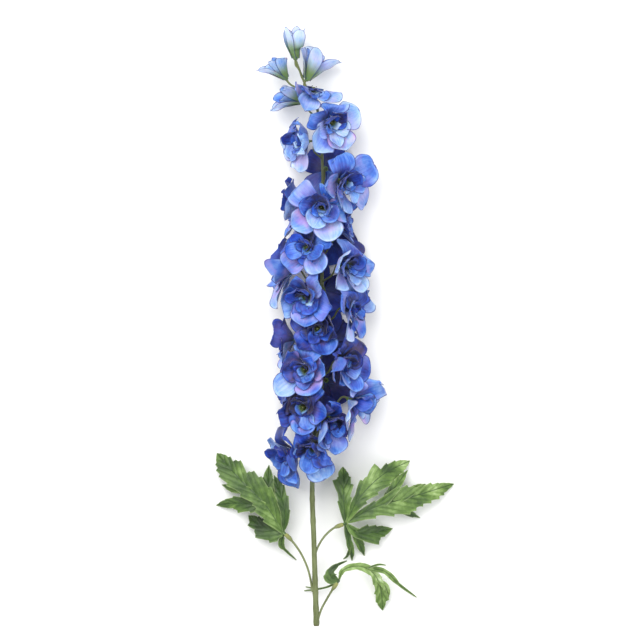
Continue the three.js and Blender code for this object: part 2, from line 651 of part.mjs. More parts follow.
// One lobe's blade along its midrib, with a row where each further lobe has its root.
function lobeBlade(line, { left, right }, roots) {
  const corners = [...left, ...right].map(([u]) => u);
  const stations = [...new Set([...corners, ...roots])].sort((a, b) => a - b);
  const rows = stations.map((u) => {
    const middle = line.getPointAt(u);
    const along = line.getTangentAt(u);
    const toRight = new THREE.Vector3().crossVectors(along, vector(0, 0, 1)).normalize();
    const front = new THREE.Vector3().crossVectors(toRight, along);
    const edge = (sign, width) => {
      const out = toRight.clone().multiplyScalar(sign * Math.cos(rad(LEAF_FOLD)));
      out.addScaledVector(front, Math.sin(rad(LEAF_FOLD)));
      return middle.clone().addScaledVector(out, width);
    };
    return [edge(-1, widthAt(left, u)), middle, edge(1, widthAt(right, u))];
  });
  return blade(rows, LEAF_RIB);
}

// A ring of a leaf's hub, so far past the mouth of its stalk.
function hubRing(name, past) {
  const line = new THREE.CatmullRomCurve3(PETIOLES[name].map((p) => vector(...p)));
  return ring(line, 1 + past / line.getLength(), HUB_RADIUS);
}

// A leaf: its lobes, and the hub that they meet in, which sits in the mouth of its stalk.
function leafSolid(name, clearStem, table) {
  const lobes = LEAVES[name];
  const middle = hubRing(name, LOBES_MEET * HUB_LENGTH).centre;
  const ribs = [];
  for (const { on, rib } of lobes) {
    const root = on ? ribs[on[0]].getPointAt(on[1]) : middle;
    ribs.push(new THREE.CatmullRomCurve3([root, ...rib.map((p) => vector(...p))]));
  }
  const rootsOn = (i) => lobes.filter(({ on }) => on && on[0] === i).map(({ on }) => on[1]);
  const pieces = lobes.map((lobe, i) => lobeBlade(ribs[i], lobe, rootsOn(i)));
  pieces.push(tube([hubRing(name, -HUB_SUNK), hubRing(name, HUB_LENGTH)], PETIOLE_SIDES));
  return largestPiece(joined(pieces).subtract(clearStem).subtract(table));
}

// ---------- the spike ----------

const stemMaterial = new THREE.MeshStandardMaterial({ color: 0x7d8f4e, roughness: 0.6, metalness: 0 });
const leafMaterial = new THREE.MeshStandardMaterial({ color: 0x4f7d34, roughness: 0.6, metalness: 0 });
const petalMaterial = new THREE.MeshStandardMaterial({ color: 0x4464d2, roughness: 0.7, metalness: 0 });
const budMaterial = new THREE.MeshStandardMaterial({ color: 0x9db8e8, roughness: 0.7, metalness: 0 });

const spike = new THREE.Group();

function addNode(name, solid, material) {
  const mesh = new THREE.Mesh(geometryOf(solid), material);
  mesh.name = name;
  spike.add(mesh);
}

const clearStem = stemSolid(CLEARANCE);
const table = belowTable();
addNode("stem", stemSolid(0), stemMaterial);
BLOOMS.forEach((bloom, index) => {
  const material = isOpen(bloom) ? petalMaterial : budMaterial;
  addNode(bloom.name, bloomSolid(bloom, index, clearStem, table), material);
});
for (const name of Object.keys(LEAVES)) addNode(name, leafSolid(name, clearStem, table), leafMaterial);

export default spike;
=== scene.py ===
# A cut delphinium spike, laid down on a pale surface and seen from straight above. The frame is in metres.
# The spike's lengths are in millimetres until a mesh is made of them. The studio's are in metres.
import math

import bpy
import numpy as np
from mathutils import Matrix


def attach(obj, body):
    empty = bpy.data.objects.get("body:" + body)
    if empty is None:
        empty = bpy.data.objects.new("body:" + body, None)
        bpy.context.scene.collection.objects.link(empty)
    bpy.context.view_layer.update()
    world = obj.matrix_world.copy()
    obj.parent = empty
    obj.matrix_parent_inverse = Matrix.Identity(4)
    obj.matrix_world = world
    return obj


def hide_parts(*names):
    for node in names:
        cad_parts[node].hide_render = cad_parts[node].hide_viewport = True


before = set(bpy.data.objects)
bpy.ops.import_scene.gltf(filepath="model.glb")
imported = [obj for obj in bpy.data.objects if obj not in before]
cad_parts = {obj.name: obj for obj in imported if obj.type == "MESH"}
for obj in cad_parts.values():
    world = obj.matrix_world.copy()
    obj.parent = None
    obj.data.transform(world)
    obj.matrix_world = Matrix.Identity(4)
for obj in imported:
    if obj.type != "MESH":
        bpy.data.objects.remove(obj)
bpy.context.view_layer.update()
MM = 0.001

# ---------- dimensions, as in the solids ----------

STEM_LINE = [
    (-23, -359, 26), (-26, -257, 31), (-28, -190, 35), (-24, -112, 38), (-19, -11, 39),
    (-16, 73, 39), (-16, 204, 37), (-22, 262, 36), (-36, 290, 35), (-48, 321, 37),
]
STEM_FOOT_RADIUS = 3.4
STEM_TIP_RADIUS = 1.2
PEDICEL_RADIUS = 1.5
PEDICEL_DROP = 20
PEDICEL_BACK = 7
PEDICEL_BEND = 3
EYE_START = 3
EYE_TIP = 13
EYE_RADIUS = 2.8
PETIOLE_RADIUS = 1.3
SOCKET_RADIUS = 2.7
SOCKET_LENGTH = 11
BLOOM_GAP = 0.3
CLAW_RADIUS = 2.7
PETAL_TWIST = 13
PETAL_CUPPING = 16
PETAL_STRAY = 10
OPENING_STRAY = 13
LENGTH_STRAY = 0.12
WIDTH_STRAY = 0.13
WIDEST = 0.66
TIP_ROUNDING = 0.13
TIP_ROUNDING_LIMIT = 0.6
TURN_STEP = 2
TURN_STEPS = 26
STEP_SHARES = [1, 0.85, 0.7, 0.55, 0.4, 0.25, 0.1]
LEAF_FOLD = 14
HUB_SUNK = 2
HUB_LENGTH = 5
STEM_ROOM = 6.5
SHINGLE = 1.1
REACH_BETWEEN = 120
CELL_DEPTH = 0.35
TABLE_ROOM = 0.05

OUTER = {
    "count": 5, "length": 1, "width": 0.42, "open": (42, 74, 86), "from": 1, "turn": 0, "room": 0.9,
    "rows": (0, 0.42, 0.8, 1), "stray": 1, "hood": 6,
}
INNER = {
    "count": 5, "length": 0.68, "width": 0.27, "open": (22, 46, 64), "from": 4, "turn": 36, "room": 3.2,
    "rows": (0, 0.55, 1), "stray": 1.6, "hood": 16,
}
HALF_OUTER = {**OUTER, "width": 0.2, "open": (26, 38, 52), "hood": 0}
HALF_INNER = {
    **INNER, "count": 4, "length": 0.72, "width": 0.17, "open": (14, 24, 36), "room": 2.5,
    "stray": 1, "hood": 0,
}
BUD_OUTER = {**OUTER, "width": 0.2, "open": (26, 17, 16), "stray": 0.6, "hood": 0}
# Two small crumpled whorls round the eye, which are too fine for the solids.
FRILL = {
    **INNER, "length": 0.42, "width": 0.18, "open": (8, 30, 50), "turn": 4, "rows": (0, 0.6, 1),
    "stray": 2.2,
}
# The lips stand round the lower side of the eye, at these turns from the bloom's top.
LIPS = {
    **FRILL, "count": 3, "length": 0.3, "width": 0.15, "open": (6, 26, 66), "from": 5, "hood": 0,
    "around": (128, 180, 232),
}
STAGES = {
    "open": (OUTER, INNER, FRILL, LIPS),
    "pressed": (OUTER, INNER, FRILL),
    "half": (HALF_OUTER, HALF_INNER),
    "bud": (BUD_OUTER,),
}

# name, y, round, out, tilt, petal, turn, stage: as in the solids. Then how deep the bloom's blue is (0 pale,
# 1 darkest), how much lilac its petals carry, and how pale its outer petals turn towards their rims. The
# depth is the bloom's own blue, but for the pressed blooms at the back and for bloom_29 it is deepened as
# painted shade.
BLOOM_TABLE = [
    ("bud_top", 321, -16, 0, 84, 38, 0, "bud", 0.26, 0.3, 0.3),
    ("bud_left", 297, -72, 21, 54, 38, 8, "half", 0.24, 0.3, 0.4),
    ("bud_right", 296, 72, 4, 62, 48, 40, "half", 0.26, 0.3, 0.3),
    ("bloom_01", 270, -78, 15, 24, 40, 5, "half", 0.3, 0.2, 0.4),
    ("bloom_02", 281, 14, 13, 22, 37, 54, "open", 0.48, 0.8, 0.3),
    ("bloom_03", 246, 26, 21, -8, 42, 0, "open", 0.48, 0.8, 0.6),
    ("bloom_04", 222, -60, 18, 0, 39, 34, "open", 0.52, 0.6, 0.5),
    ("bloom_05", 175, 44, 27, -8, 44, 50, "open", 0.56, 0.5, 0.6),
    ("bloom_06", 190, 168, 18, 5, 35, 0, "pressed", 0.74, 0.2, 0.2),
    ("bloom_07", 144, -96, 22, 4, 38, 30, "open", 0.62, 0.3, 0.5),
    ("bloom_08", 144, -3, 27, -6, 46, 25, "open", 0.58, 0.75, 0.5),
    ("bloom_09", 104, 150, 21, 0, 37, 10, "pressed", 0.92, 0.1, 0.1),
    ("bloom_10", 95, -29, 27, 2, 41, 0, "open", 0.64, 0.35, 0.4),
    ("bloom_11", 74, 46, 32, -6, 42, 8, "open", 0.54, 0.85, 0.8),
    ("bloom_12", 68, -88, 33, 4, 45, 30, "open", 0.6, 0.5, 0.6),
    ("bloom_13", 44, 175, 20, 0, 36, 18, "pressed", 0.96, 0.1, 0.1),
    ("bloom_14", 38, -28, 29, -12, 43, 40, "open", 0.64, 0.6, 0.6),
    ("bloom_15", 22, 60, 32, 2, 43, 0, "open", 0.6, 0.3, 0.7),
    ("bloom_16", -15, -92, 29, 0, 41, 0, "open", 0.72, 0.3, 0.4),
    ("bloom_17", -18, 146, 22, 0, 38, 22, "pressed", 0.98, 0.1, 0.1),
    ("bloom_18", -49, -26, 28, -8, 43, 10, "open", 0.64, 0.85, 0.8),
    ("bloom_19", -42, 46, 33, -8, 42, 34, "open", 0.72, 0.5, 0.5),
    ("bloom_20", -64, 154, 23, 0, 38, 12, "pressed", 0.98, 0.1, 0.1),
    ("bloom_21", -86, 74, 39, -20, 48, 30, "open", 0.46, 0.9, 0.9),
    ("bloom_22", -95, -24, 28, -4, 41, 36, "open", 0.76, 0.4, 0.4),
    ("bloom_23", -108, 32, 25, -30, 43, 20, "open", 0.72, 0.2, 0.3),
    ("bloom_24", -116, 160, 21, -6, 37, 0, "pressed", 0.96, 0.1, 0.1),
    ("bloom_25", -140, -2, 27, -26, 43, 24, "open", 0.68, 0.05, 0.15),
    ("bloom_26", -148, -58, 26, -20, 44, 60, "open", 0.66, 0.05, 0.2),
    ("bloom_27", -68, -84, 22, -4, 39, 38, "open", 0.84, 0.25, 0.3),
    ("bloom_28", 128, 76, 14, 2, 33, 32, "open", 0.66, 0.3, 0.4),
    ("bloom_29", -2, -6, 20, 0, 38, 14, "open", 0.88, 0.1, 0.2),
]

PETIOLES = {
    "leaf_left": [(-27, -318, 27), (-33, -291, 27), (-42, -271, 26), (-53, -256, 25), (-60, -249, 24)],
    "leaf_right": [(-24, -303, 28), (-25, -276, 28), (-16, -255, 28), (-3, -242, 27), (9, -237, 26)],
    "leaf_low": [(-22, -354, 26), (-17, -339, 26), (-10, -326, 25), (-4, -316, 25), (2, -307, 25)],
}


def side(foot, *corners, tip=0.4):
    """One side of a lobe: its width at the foot, at shares of the way along and at the tip."""
    return [(0, foot), *corners, (1, tip)]


# on (the parent lobe and the share along it, or None), rib, left side, and right side where it differs.
LEAVES = {
    "leaf_left": [
        (None, [(-84, -214, 27), (-114, -184, 20), (-143, -152, 1)],
         side(3, (0.3, 16), (0.36, 10), (0.6, 13), (0.78, 17), (0.9, 10)),
         side(2, (0.3, 17), (0.6, 20), (0.64, 13), (0.78, 15), (0.82, 9), (0.9, 8))),
        (None, [(-76, -212, 25), (-80, -190, 20), (-80, -166, 10)],
         side(1, (0.4, 8), (0.7, 10)), side(1, (0.4, 7), (0.7, 7))),
        (None, [(-61, -224, 30), (-67, -198, 27), (-74, -178, 16)],
         side(1, (0.3, 5), (0.7, 6)), side(1, (0.3, 6), (0.7, 8))),
        ((0, 0.3), [(-104, -213, 22), (-122, -212, 13), (-144, -215, 1)],
         side(4, (0.4, 11), (0.55, 10), (0.6, 7)), side(4, (0.4, 9), (0.75, 6))),
        ((0, 0.5), [(-120, -194, 17), (-137, -190, 6)], side(3, (0.5, 6)), side(3, (0.5, 5))),
        (None, [(-78, -244, 20), (-92, -238, 12), (-105, -227, 1)],
         side(6, (0.2, 13), (0.4, 15), (0.55, 14), (0.6, 9), (0.8, 9), (0.84, 5)),
         side(2, (0.4, 11), (0.7, 9))),
        (None, [(-65, -262, 17), (-58, -271, 10), (-47, -281, 1)],
         side(1, (0.35, 4), (0.5, 2), tip=0.5), side(1, (0.35, 4), (0.5, 1.5), tip=0.5)),
    ],
    "leaf_right": [
        (None, [(10, -210, 29), (10, -190, 24), (9, -168, 12)],
         side(2, (0.5, 8), (0.72, 13), (0.76, 7), (0.88, 6)), side(1, (0.5, 10), (0.76, 9), (0.88, 5))),
        (None, [(28, -206, 31), (56, -178, 26), (90, -161, 3)],
         side(1, (0.3, 7), (0.48, 13), (0.5, 10), (0.62, 16), (0.64, 8), (0.8, 8)),
         side(1, (0.3, 10), (0.62, 15), (0.8, 11))),
        (None, [(48, -216, 28), (92, -204, 20), (143, -189, 1)],
         side(1, (0.3, 7), (0.55, 16), (0.64, 11), (0.85, 7), (0.93, 4)),
         side(1, (0.3, 13), (0.55, 19), (0.64, 14), (0.85, 10), (0.93, 5))),
        ((2, 0.36), [(72, -192, 25), (87, -172, 14)], side(4, (0.5, 7)), side(4, (0.5, 6))),
        ((2, 0.5), [(94, -196, 18), (109, -189, 9)], side(4, (0.6, 5)), side(4, (0.6, 4))),
        ((2, 0.42), [(84, -222, 16), (102, -230, 2)], side(4, (0.5, 5)), side(4, (0.5, 4))),
        (None, [(26, -247, 22), (46, -247, 13), (69, -243, 1)],
         side(1, (0.3, 6), (0.34, 9), (0.66, 8)), side(1, (0.34, 8), (0.66, 14), (0.7, 9))),
        ((6, 0.2), [(28, -260, 13), (35, -276, 1)], side(3, (0.5, 6)), side(3, (0.5, 4))),
        (None, [(16, -258, 18), (19, -270, 9), (20, -282, 1)],
         side(2, (0.4, 4), (0.7, 4)), side(2, (0.4, 3), (0.7, 3))),
        ((8, 0.6), [(14, -276, 6), (9, -280, 2)], side(1, (0.5, 2))),
    ],
    "leaf_low": [
        (None, [(9, -292, 30), (28, -287, 32), (44, -294, 29), (54, -313, 16), (57, -342, 1)],
         side(1, (0.15, 3), (0.28, 4), (0.5, 5), (0.72, 5), (0.86, 9), (0.88, 5)),
         side(1, (0.15, 3), (0.28, 4), (0.5, 5), (0.72, 7), (0.86, 8))),
        ((0, 0.6), [(60, -312, 17), (64, -327, 6)], side(2, (0.6, 4))),
        ((0, 0.4), [(58, -293, 27), (78, -311, 14), (98, -326, 1)], side(2, (0.3, 3), (0.6, 2), tip=0.6)),
        ((0, 0.4), [(52, -285, 32), (61, -286, 28)], side(1, (0.5, 1.5), tip=0.6)),
        (None, [(-5, -301, 28), (-6, -294, 28), (2, -286, 25), (14, -281, 20)],
         side(1, (0.25, 9), (0.45, 4), (0.7, 2), tip=0.6),
         side(1, (0.25, 8), (0.45, 4), (0.7, 2), tip=0.6)),
        (None, [(-8, -312, 16), (-24, -316, 9), (-38, -318, 1)], side(1, (0.5, 1.2), tip=0.6)),
        ((5, 0.65), [(-31, -314, 5), (-36, -313, 3)], side(0.8, tip=0.6)),
    ],
}

# ---------- small tools ----------

UP_SPIKE = np.array([0.0, 1.0, 0.0])


def srgb(r, g, b):
    """A colour given as 0 to 255 sRGB, as linear light."""
    def linear(c):
        c /= 255
        return c / 12.92 if c <= 0.04045 else ((c + 0.055) / 1.055) ** 2.4
    return (linear(r), linear(g), linear(b), 1)


def add_object(name, data):
    made = bpy.data.objects.new(name, data)
    bpy.context.scene.collection.objects.link(made)
    return made


def draw(seed):
    """An even spread of values from -1 to 1, the same for the same number each time."""
    wave = math.sin(seed * 12.9898) * 43758.5453
    return 2 * (wave - math.floor(wave)) - 1


def unit(v):
    return v / np.linalg.norm(v)


def units(rows):
    return rows / np.linalg.norm(rows, axis=1)[:, None]


def through(values, t):
    """The value at t of a smooth curve through a start, a middle and an end value."""
    start, middle, end = values
    return start * (1 - t) * (1 - 2 * t) + 4 * middle * t * (1 - t) + end * t * (2 * t - 1)


def rise(low, high, x):
    """0 below low, 1 above high, and smooth between."""
    t = np.clip((x - low) / (high - low), 0, 1)
    return t * t * (3 - 2 * t)


def smooth(stations, values, at):
    """A smooth curve through the values at rising stations, read at each of at."""
    s = np.asarray(stations, float)
    v = np.asarray(values, float).reshape(len(s), -1)
    at = np.atleast_1d(np.asarray(at, float))
    index = np.arange(len(s))
    after = np.minimum(index + 1, len(s) - 1)
    before = np.maximum(index - 1, 0)
    slopes = (v[after] - v[before]) / (s[after] - s[before])[:, None]
    k = np.clip(np.searchsorted(s, at, side="right") - 1, 0, len(s) - 2)
    span = (s[k + 1] - s[k])[:, None]
    t = (at - s[k])[:, None] / span
    ease = 3 * t**2 - 2 * t**3
    ends = (1 - ease) * v[k] + ease * v[k + 1]
    return ends + span * ((t**3 - 2 * t**2 + t) * slopes[k] + (t**3 - t**2) * slopes[k + 1])


TANGENT_STEP = 0.004


class Curve:
    """A smooth curve through points, measured along its length (centripetal Catmull-Rom)."""

    def __init__(self, points, samples=160):
        p = [np.asarray(q, float) for q in points]
        p = [2 * p[0] - p[1]] + p + [2 * p[-1] - p[-2]]
        line = []
        for i in range(1, len(p) - 2):
            gaps = [math.sqrt(np.linalg.norm(p[j + 1] - p[j])) for j in (i - 1, i, i + 1)]
            a, b, c, d = p[i - 1:i + 3]
            leave = (b - a) / gaps[0] - (c - a) / (gaps[0] + gaps[1]) + (c - b) / gaps[1]
            arrive = (c - b) / gaps[1] - (d - b) / (gaps[1] + gaps[2]) + (d - c) / gaps[2]
            t = np.linspace(0, 1, samples)[:, None]
            t = t if i == len(p) - 3 else t[:-1]
            ease = 3 * t**2 - 2 * t**3
            bend = (t**3 - 2 * t**2 + t) * leave + (t**3 - t**2) * arrive
            line.append((1 - ease) * b + ease * c + gaps[1] * bend)
        self.line = np.vstack(line)
        steps = np.linalg.norm(np.diff(self.line, axis=0), axis=1)
        self.along = np.concatenate([[0], np.cumsum(steps)])
        self.length = self.along[-1]

    def read(self, s):
        """Points on the line at lengths s from its start."""
        return np.stack([np.interp(s, self.along, self.line[:, k]) for k in range(3)], axis=1)

    def at(self, u):
        """Points at shares of the length. Shares past either end run on straight."""
        u = np.atleast_1d(np.asarray(u, float))
        on_line = np.clip(u, 0, 1)
        past = (u - on_line) * self.length
        return self.read(on_line * self.length) + self.tangent(u) * past[:, None]

    def tangent(self, u):
        u = np.clip(np.atleast_1d(np.asarray(u, float)), TANGENT_STEP, 1 - TANGENT_STEP)
        ahead = self.read((u + TANGENT_STEP) * self.length)
        return units(ahead - self.read((u - TANGENT_STEP) * self.length))


class Shape:
    """Faces gathered for one object, with a number for each vertex under each attribute name."""

    def __init__(self, *attributes):
        self.points = []
        self.faces = []
        self.uvs = []
        self.values = {name: [] for name in attributes}
        self.count = 0

    def add(self, points, faces, uv, **values):
        points = np.asarray(points, float)
        self.points.append(points)
        self.uvs.append(np.asarray(uv, float))
        self.faces += [tuple(i + self.count for i in face) for face in faces]
        for name, kept in self.values.items():
            value = values.get(name, 0)
            kept.append(np.broadcast_to(np.asarray(value, float), (len(points),)))
        self.count += len(points)

    def make(self, name, material, node, sharp):
        """The object itself, shaded smooth but for edges sharper than so many degrees."""
        points = np.vstack(self.points) * MM
        mesh = bpy.data.meshes.new(name)
        mesh.from_pydata(points.tolist(), [], self.faces)
        corners = np.empty(len(mesh.loops), dtype=np.int32)
        mesh.loops.foreach_get("vertex_index", corners)
        layer = mesh.uv_layers.new(name="UVMap")
        layer.data.foreach_set("uv", np.vstack(self.uvs)[corners].astype(np.float32).ravel())
        for key, kept in self.values.items():
            attribute = mesh.attributes.new(key, "FLOAT", "POINT")
            attribute.data.foreach_set("value", np.concatenate(kept).astype(np.float32))
        mesh.polygons.foreach_set("use_smooth", np.ones(len(mesh.polygons), dtype=bool))
        mesh.set_sharp_from_angle(angle=math.radians(sharp))
        mesh.materials.append(material)
        piece = add_object(name, mesh)
        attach(piece, "root")
        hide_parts(node)


def tube(shape, centres, radii, sides, ripple=None, **values):
    """A closed tube round a line of centres. ripple(i, angles) scales a ring's radius."""
    centres = np.asarray(centres, float)
    radii = np.broadcast_to(np.asarray(radii, float), (len(centres),))
    ways = np.gradient(centres, axis=0)
    across = np.array([0.0, 0.0, 1.0]) if abs(unit(ways[0])[2]) < 0.9 else np.array([1.0, 0.0, 0.0])
    angles = np.linspace(0, math.tau, sides, endpoint=False)
    points, uv = [], []
    lengths = np.concatenate([[0], np.cumsum(np.linalg.norm(np.diff(centres, axis=0), axis=1))])
    for i, centre in enumerate(centres):
        way = unit(ways[i])
        across = unit(across - way * across.dot(way))
        other = np.cross(way, across)
        scale = ripple(i, angles) if ripple else np.ones(sides)
        ring = np.cos(angles)[:, None] * across + np.sin(angles)[:, None] * other
        points.append(centre + ring * (radii[i] * scale)[:, None])
        uv.append(np.stack([np.full(sides, lengths[i]), angles / math.tau], axis=1))
    faces = []
    for i in range(len(centres) - 1):
        for s in range(sides):
            a, b = i * sides + s, i * sides + (s + 1) % sides
            faces.append((a, b, b + sides, a + sides))
    last = len(centres) * sides
    points += [centres[:1], centres[-1:]]
    uv += [[[0, 0.5]], [[lengths[-1], 0.5]]]
    for s in range(sides):
        t = (s + 1) % sides
        faces.append((last, t, s))
        faces.append((last + 1, last - sides + s, last - sides + t))
    per_vertex = {}
    for name, value in values.items():
        value = np.asarray(value, float)
        if value.ndim:
            value = np.concatenate([np.repeat(value, sides), value[:1], value[-1:]])
        per_vertex[name] = value
    shape.add(np.vstack(points), faces, np.vstack(uv), **per_vertex)


def sheet(shape, grid, thickness, uv, **values):
    """A closed thin sheet round a grid of points, with thin walls along its edge."""
    rows, columns, _ = grid.shape
    down = np.gradient(grid, axis=0)
    over = np.gradient(grid, axis=1)
    normals = np.cross(over, down)
    lengths = np.linalg.norm(normals, axis=2, keepdims=True)
    normals = normals / np.maximum(lengths, 1e-9)
    half = (np.broadcast_to(thickness, (rows, columns)) / 2)[:, :, None]
    top = (grid + normals * half).reshape(-1, 3)
    bottom = (grid - normals * half).reshape(-1, 3)
    size = rows * columns
    ids = np.arange(size).reshape(rows, columns)
    a, b, c, d = (q.ravel() for q in (ids[:-1, :-1], ids[:-1, 1:], ids[1:, 1:], ids[1:, :-1]))
    faces = list(zip(a.tolist(), b.tolist(), c.tolist(), d.tolist()))
    faces += [(p + size, s + size, r + size, q + size) for p, q, r, s in faces]
    rim = np.concatenate([ids[0], ids[1:, -1], ids[-1, -2::-1], ids[-2:0:-1, 0]]).tolist()
    for p, q in zip(rim, rim[1:] + rim[:1]):
        faces.append((q, p, p + size, q + size))
    both = {}
    for name, value in values.items():
        value = np.broadcast_to(np.asarray(value, float), (rows, columns)).ravel()
        both[name] = np.concatenate([value, value])
    both["back"] = np.concatenate([np.zeros(size), np.ones(size)])
    flat_uv = uv.reshape(-1, 2)
    shape.add(np.vstack([top, bottom]), faces, np.vstack([flat_uv, flat_uv]), **both)


# ---------- where each bloom sits ----------

def stem_at(y):
    """Points of the stem's centre line at heights y."""
    y = np.atleast_1d(np.asarray(y, float))
    heights = [p[1] for p in STEM_LINE]
    sides = smooth(heights, [(p[0], p[2]) for p in STEM_LINE], y)
    return np.stack([sides[:, 0], y, sides[:, 1]], axis=1)


class Bloom:
    def __init__(self, index, row):
        self.index = index
        self.name, self.y, turned, self.out, tilt, self.petal, self.turn, self.stage = row[:8]
        self.tone, self.blush, self.pale = row[8:]
        turned, tilt = math.radians(turned), math.radians(tilt)
        self.outward = np.array([math.sin(turned), 0, math.cos(turned)])
        self.seat = stem_at(self.y)[0] + self.outward * self.out
        self.face = self.outward * math.cos(tilt) + UP_SPIKE * math.sin(tilt)
        self.top = unit(UP_SPIKE - self.face * UP_SPIKE.dot(self.face))
        self.side = np.cross(self.top, self.face)
        self.centre = self.seat + self.face * CELL_DEPTH * self.petal
        self.is_open = self.stage in ("open", "pressed")


BLOOMS = [Bloom(i, row) for i, row in enumerate(BLOOM_TABLE)]


def walls_of(bloom):
    """The flat walls that a bloom's petals stay inside: the table, the stem's room and one to each neighbour.

    Gives their normals and offsets, and the share of a whorl's room that is kept from each.
    """
    normals = [np.array([0.0, 0.0, -1.0])]
    offsets = [-TABLE_ROOM]
    if bloom.out > STEM_ROOM:
        normals.append(-bloom.outward)
        offsets.append(-bloom.outward.dot(stem_at(bloom.y)[0]) - STEM_ROOM)
    for other in BLOOMS:
        if other is bloom or np.linalg.norm(bloom.centre - other.centre) > REACH_BETWEEN:
            continue
        upper, lower = (bloom, other) if bloom.y > other.y else (other, bloom)
        down = lower.centre - upper.centre
        between = np.linalg.norm(down)
        down = down / between
        share = 0.5 + (upper.petal**2 - lower.petal**2) / (2 * between**2)
        middle = upper.centre + down * share * between
        normal = unit(down - unit(upper.face + lower.face) * SHINGLE * abs(down[1]))
        if bloom is lower:
            normal = -normal
        normals.append(normal)
        offsets.append(normal.dot(middle) - BLOOM_GAP / 2)
    rooms = np.ones(len(normals))
    rooms[0] = 0
    return np.array(normals), np.array(offsets), rooms


def step_inside(walls, start, way, front, length, room):
    """A step, turned towards or away from the front by the least angle that keeps it inside the walls."""
    normals, offsets, rooms = walls
    for share in STEP_SHARES:
        for k in range(TURN_STEPS + 1):
            for sign in (1, -1):
                angle = sign * k * math.radians(TURN_STEP)
                point = start + (way * math.cos(angle) + front * math.sin(angle)) * share * length
                if np.max(normals @ point - offsets + rooms * room) <= 0:
                    return point
    return start + way * STEP_SHARES[-1] * length


def petal_width(u):
    """Half a petal's width at u along it, in the solids, as a share of its widest."""
    claw, tip = 0.08, 0.53
    if u < WIDEST:
        return claw + (1 - claw) * math.sin(u / WIDEST * math.pi / 2) ** 1.5
    return math.sqrt(1 - (1 - tip**2) * ((u - WIDEST) / (1 - WIDEST)) ** 2)


class Net:
    """One petal's rows as in the solids: the rib, its frame, and how each side leaves the rib."""

    def __init__(self, bloom, walls, whorl, k, seed):
        stray, room = whorl["stray"], whorl["room"]
        turn = bloom.turn + whorl["turn"] + 360 / whorl["count"] * k
        if "around" in whorl:
            turn = whorl["around"][k]
        turn = math.radians(turn + stray * PETAL_STRAY * draw(seed))
        radial = bloom.top * math.cos(turn) + bloom.side * math.sin(turn)
        self.length = bloom.petal * whorl["length"] * (1 + stray * LENGTH_STRAY * draw(seed + 1))
        self.half_width = bloom.petal * whorl["width"] * (1 + stray * WIDTH_STRAY * draw(seed + 2))
        self.down = -radial.dot(UP_SPIKE)
        open_more = stray * OPENING_STRAY * draw(seed + 3) + whorl["hood"] * self.down
        self.rows = whorl["rows"]
        self.ribs, self.acrosses, self.arms = [], [], []
        rib = bloom.seat + bloom.face * whorl["from"] + radial * CLAW_RADIUS
        step = 0
        for i, u in enumerate(self.rows):
            before = self.rows[max(i - 1, 0)]
            angle = math.radians(through(whorl["open"], (u + before) / 2) + open_more * u)
            along = bloom.face * math.cos(angle) + radial * math.sin(angle)
            front = bloom.face * math.sin(angle) - radial * math.cos(angle)
            if i > 0:
                following = step_inside(walls, rib, along, front, (u - before) * self.length, room)
                step = np.linalg.norm(following - rib)
                along = unit(following - rib)
                rib = following
            across = unit(np.cross(along, front))
            facing = unit(np.cross(across, along))
            width = self.half_width * petal_width(u)
            root = rib - along * min(TIP_ROUNDING * self.length * u**6, TIP_ROUNDING_LIMIT * step)
            arms = []
            for sign in (-1, 1):
                lift = math.radians(PETAL_CUPPING + sign * PETAL_TWIST)
                out = across * sign * math.cos(lift) + facing * math.sin(lift)
                arm = out * width
                if i > 0:
                    arm = step_inside(walls, root, out, facing, width, room) - root
                arms += [arm.dot(across) * sign / width, arm.dot(facing) / width]
            self.ribs.append(rib)
            self.acrosses.append(across)
            self.arms.append(arms)


# ---------- petals ----------

PETAL_THICKNESS = 0.42
PETAL_EDGE_THICKNESS = 0.16
FULLNESS = 1.06  # how much wider a petal's sheet is than in the solids
LAST_ROW = 0.9995
ROW_CROWDING = 1.35
COLUMN_SPREAD = 0.94 * math.pi / 2
WALL_ROOM = 0.35
TABLE_CLEARANCE = 0.25
CUP_SIDES = 20
CUP_SCALLOP = 1.3
# Steps along the axis from the seat, with a radius: up the outside of a bloom's cup and back inside it.
CUP_PROFILE = [(-1, 1.95), (-1, 2.4), (1, 3), (3, 3.9), (5, 4.6), (5.2, 4.45), (3, 3.5), (1, 2.2)]
BUD_CUP_PROFILE = [(-1, 1.8), (-1, 2.2), (1, 3.1), (3, 4.1), (5.5, 5), (5.6, 4.8), (3, 3.8), (1, 2.4)]


def keep_inside(points, walls):
    """Points moved back to the walls that they have passed."""
    for _ in range(3):
        for normal, offset, share in zip(*walls):
            past = points @ normal - offset + (WALL_ROOM if share else TABLE_CLEARANCE)
            points = points - np.maximum(past, 0)[..., None] * normal
    return points


def petal_outline(net, look, u, seed):
    """Half the sheet's width at u along it: a narrow claw, a full middle and a round tip."""
    roundness = 2.2 + 0.5 * draw(seed + 5)
    bluntness = look["tip"] + 0.2 * draw(seed + 6)
    claw = look["claw"]
    swell = claw + (1 - claw) * np.sin(np.minimum(u / WIDEST, 1) * math.pi / 2) ** 1.45
    past = np.clip((u - WIDEST) / (1 - WIDEST), 0, 1)
    return FULLNESS * net.half_width * swell * np.maximum(1 - past**roundness, 0) ** bluntness


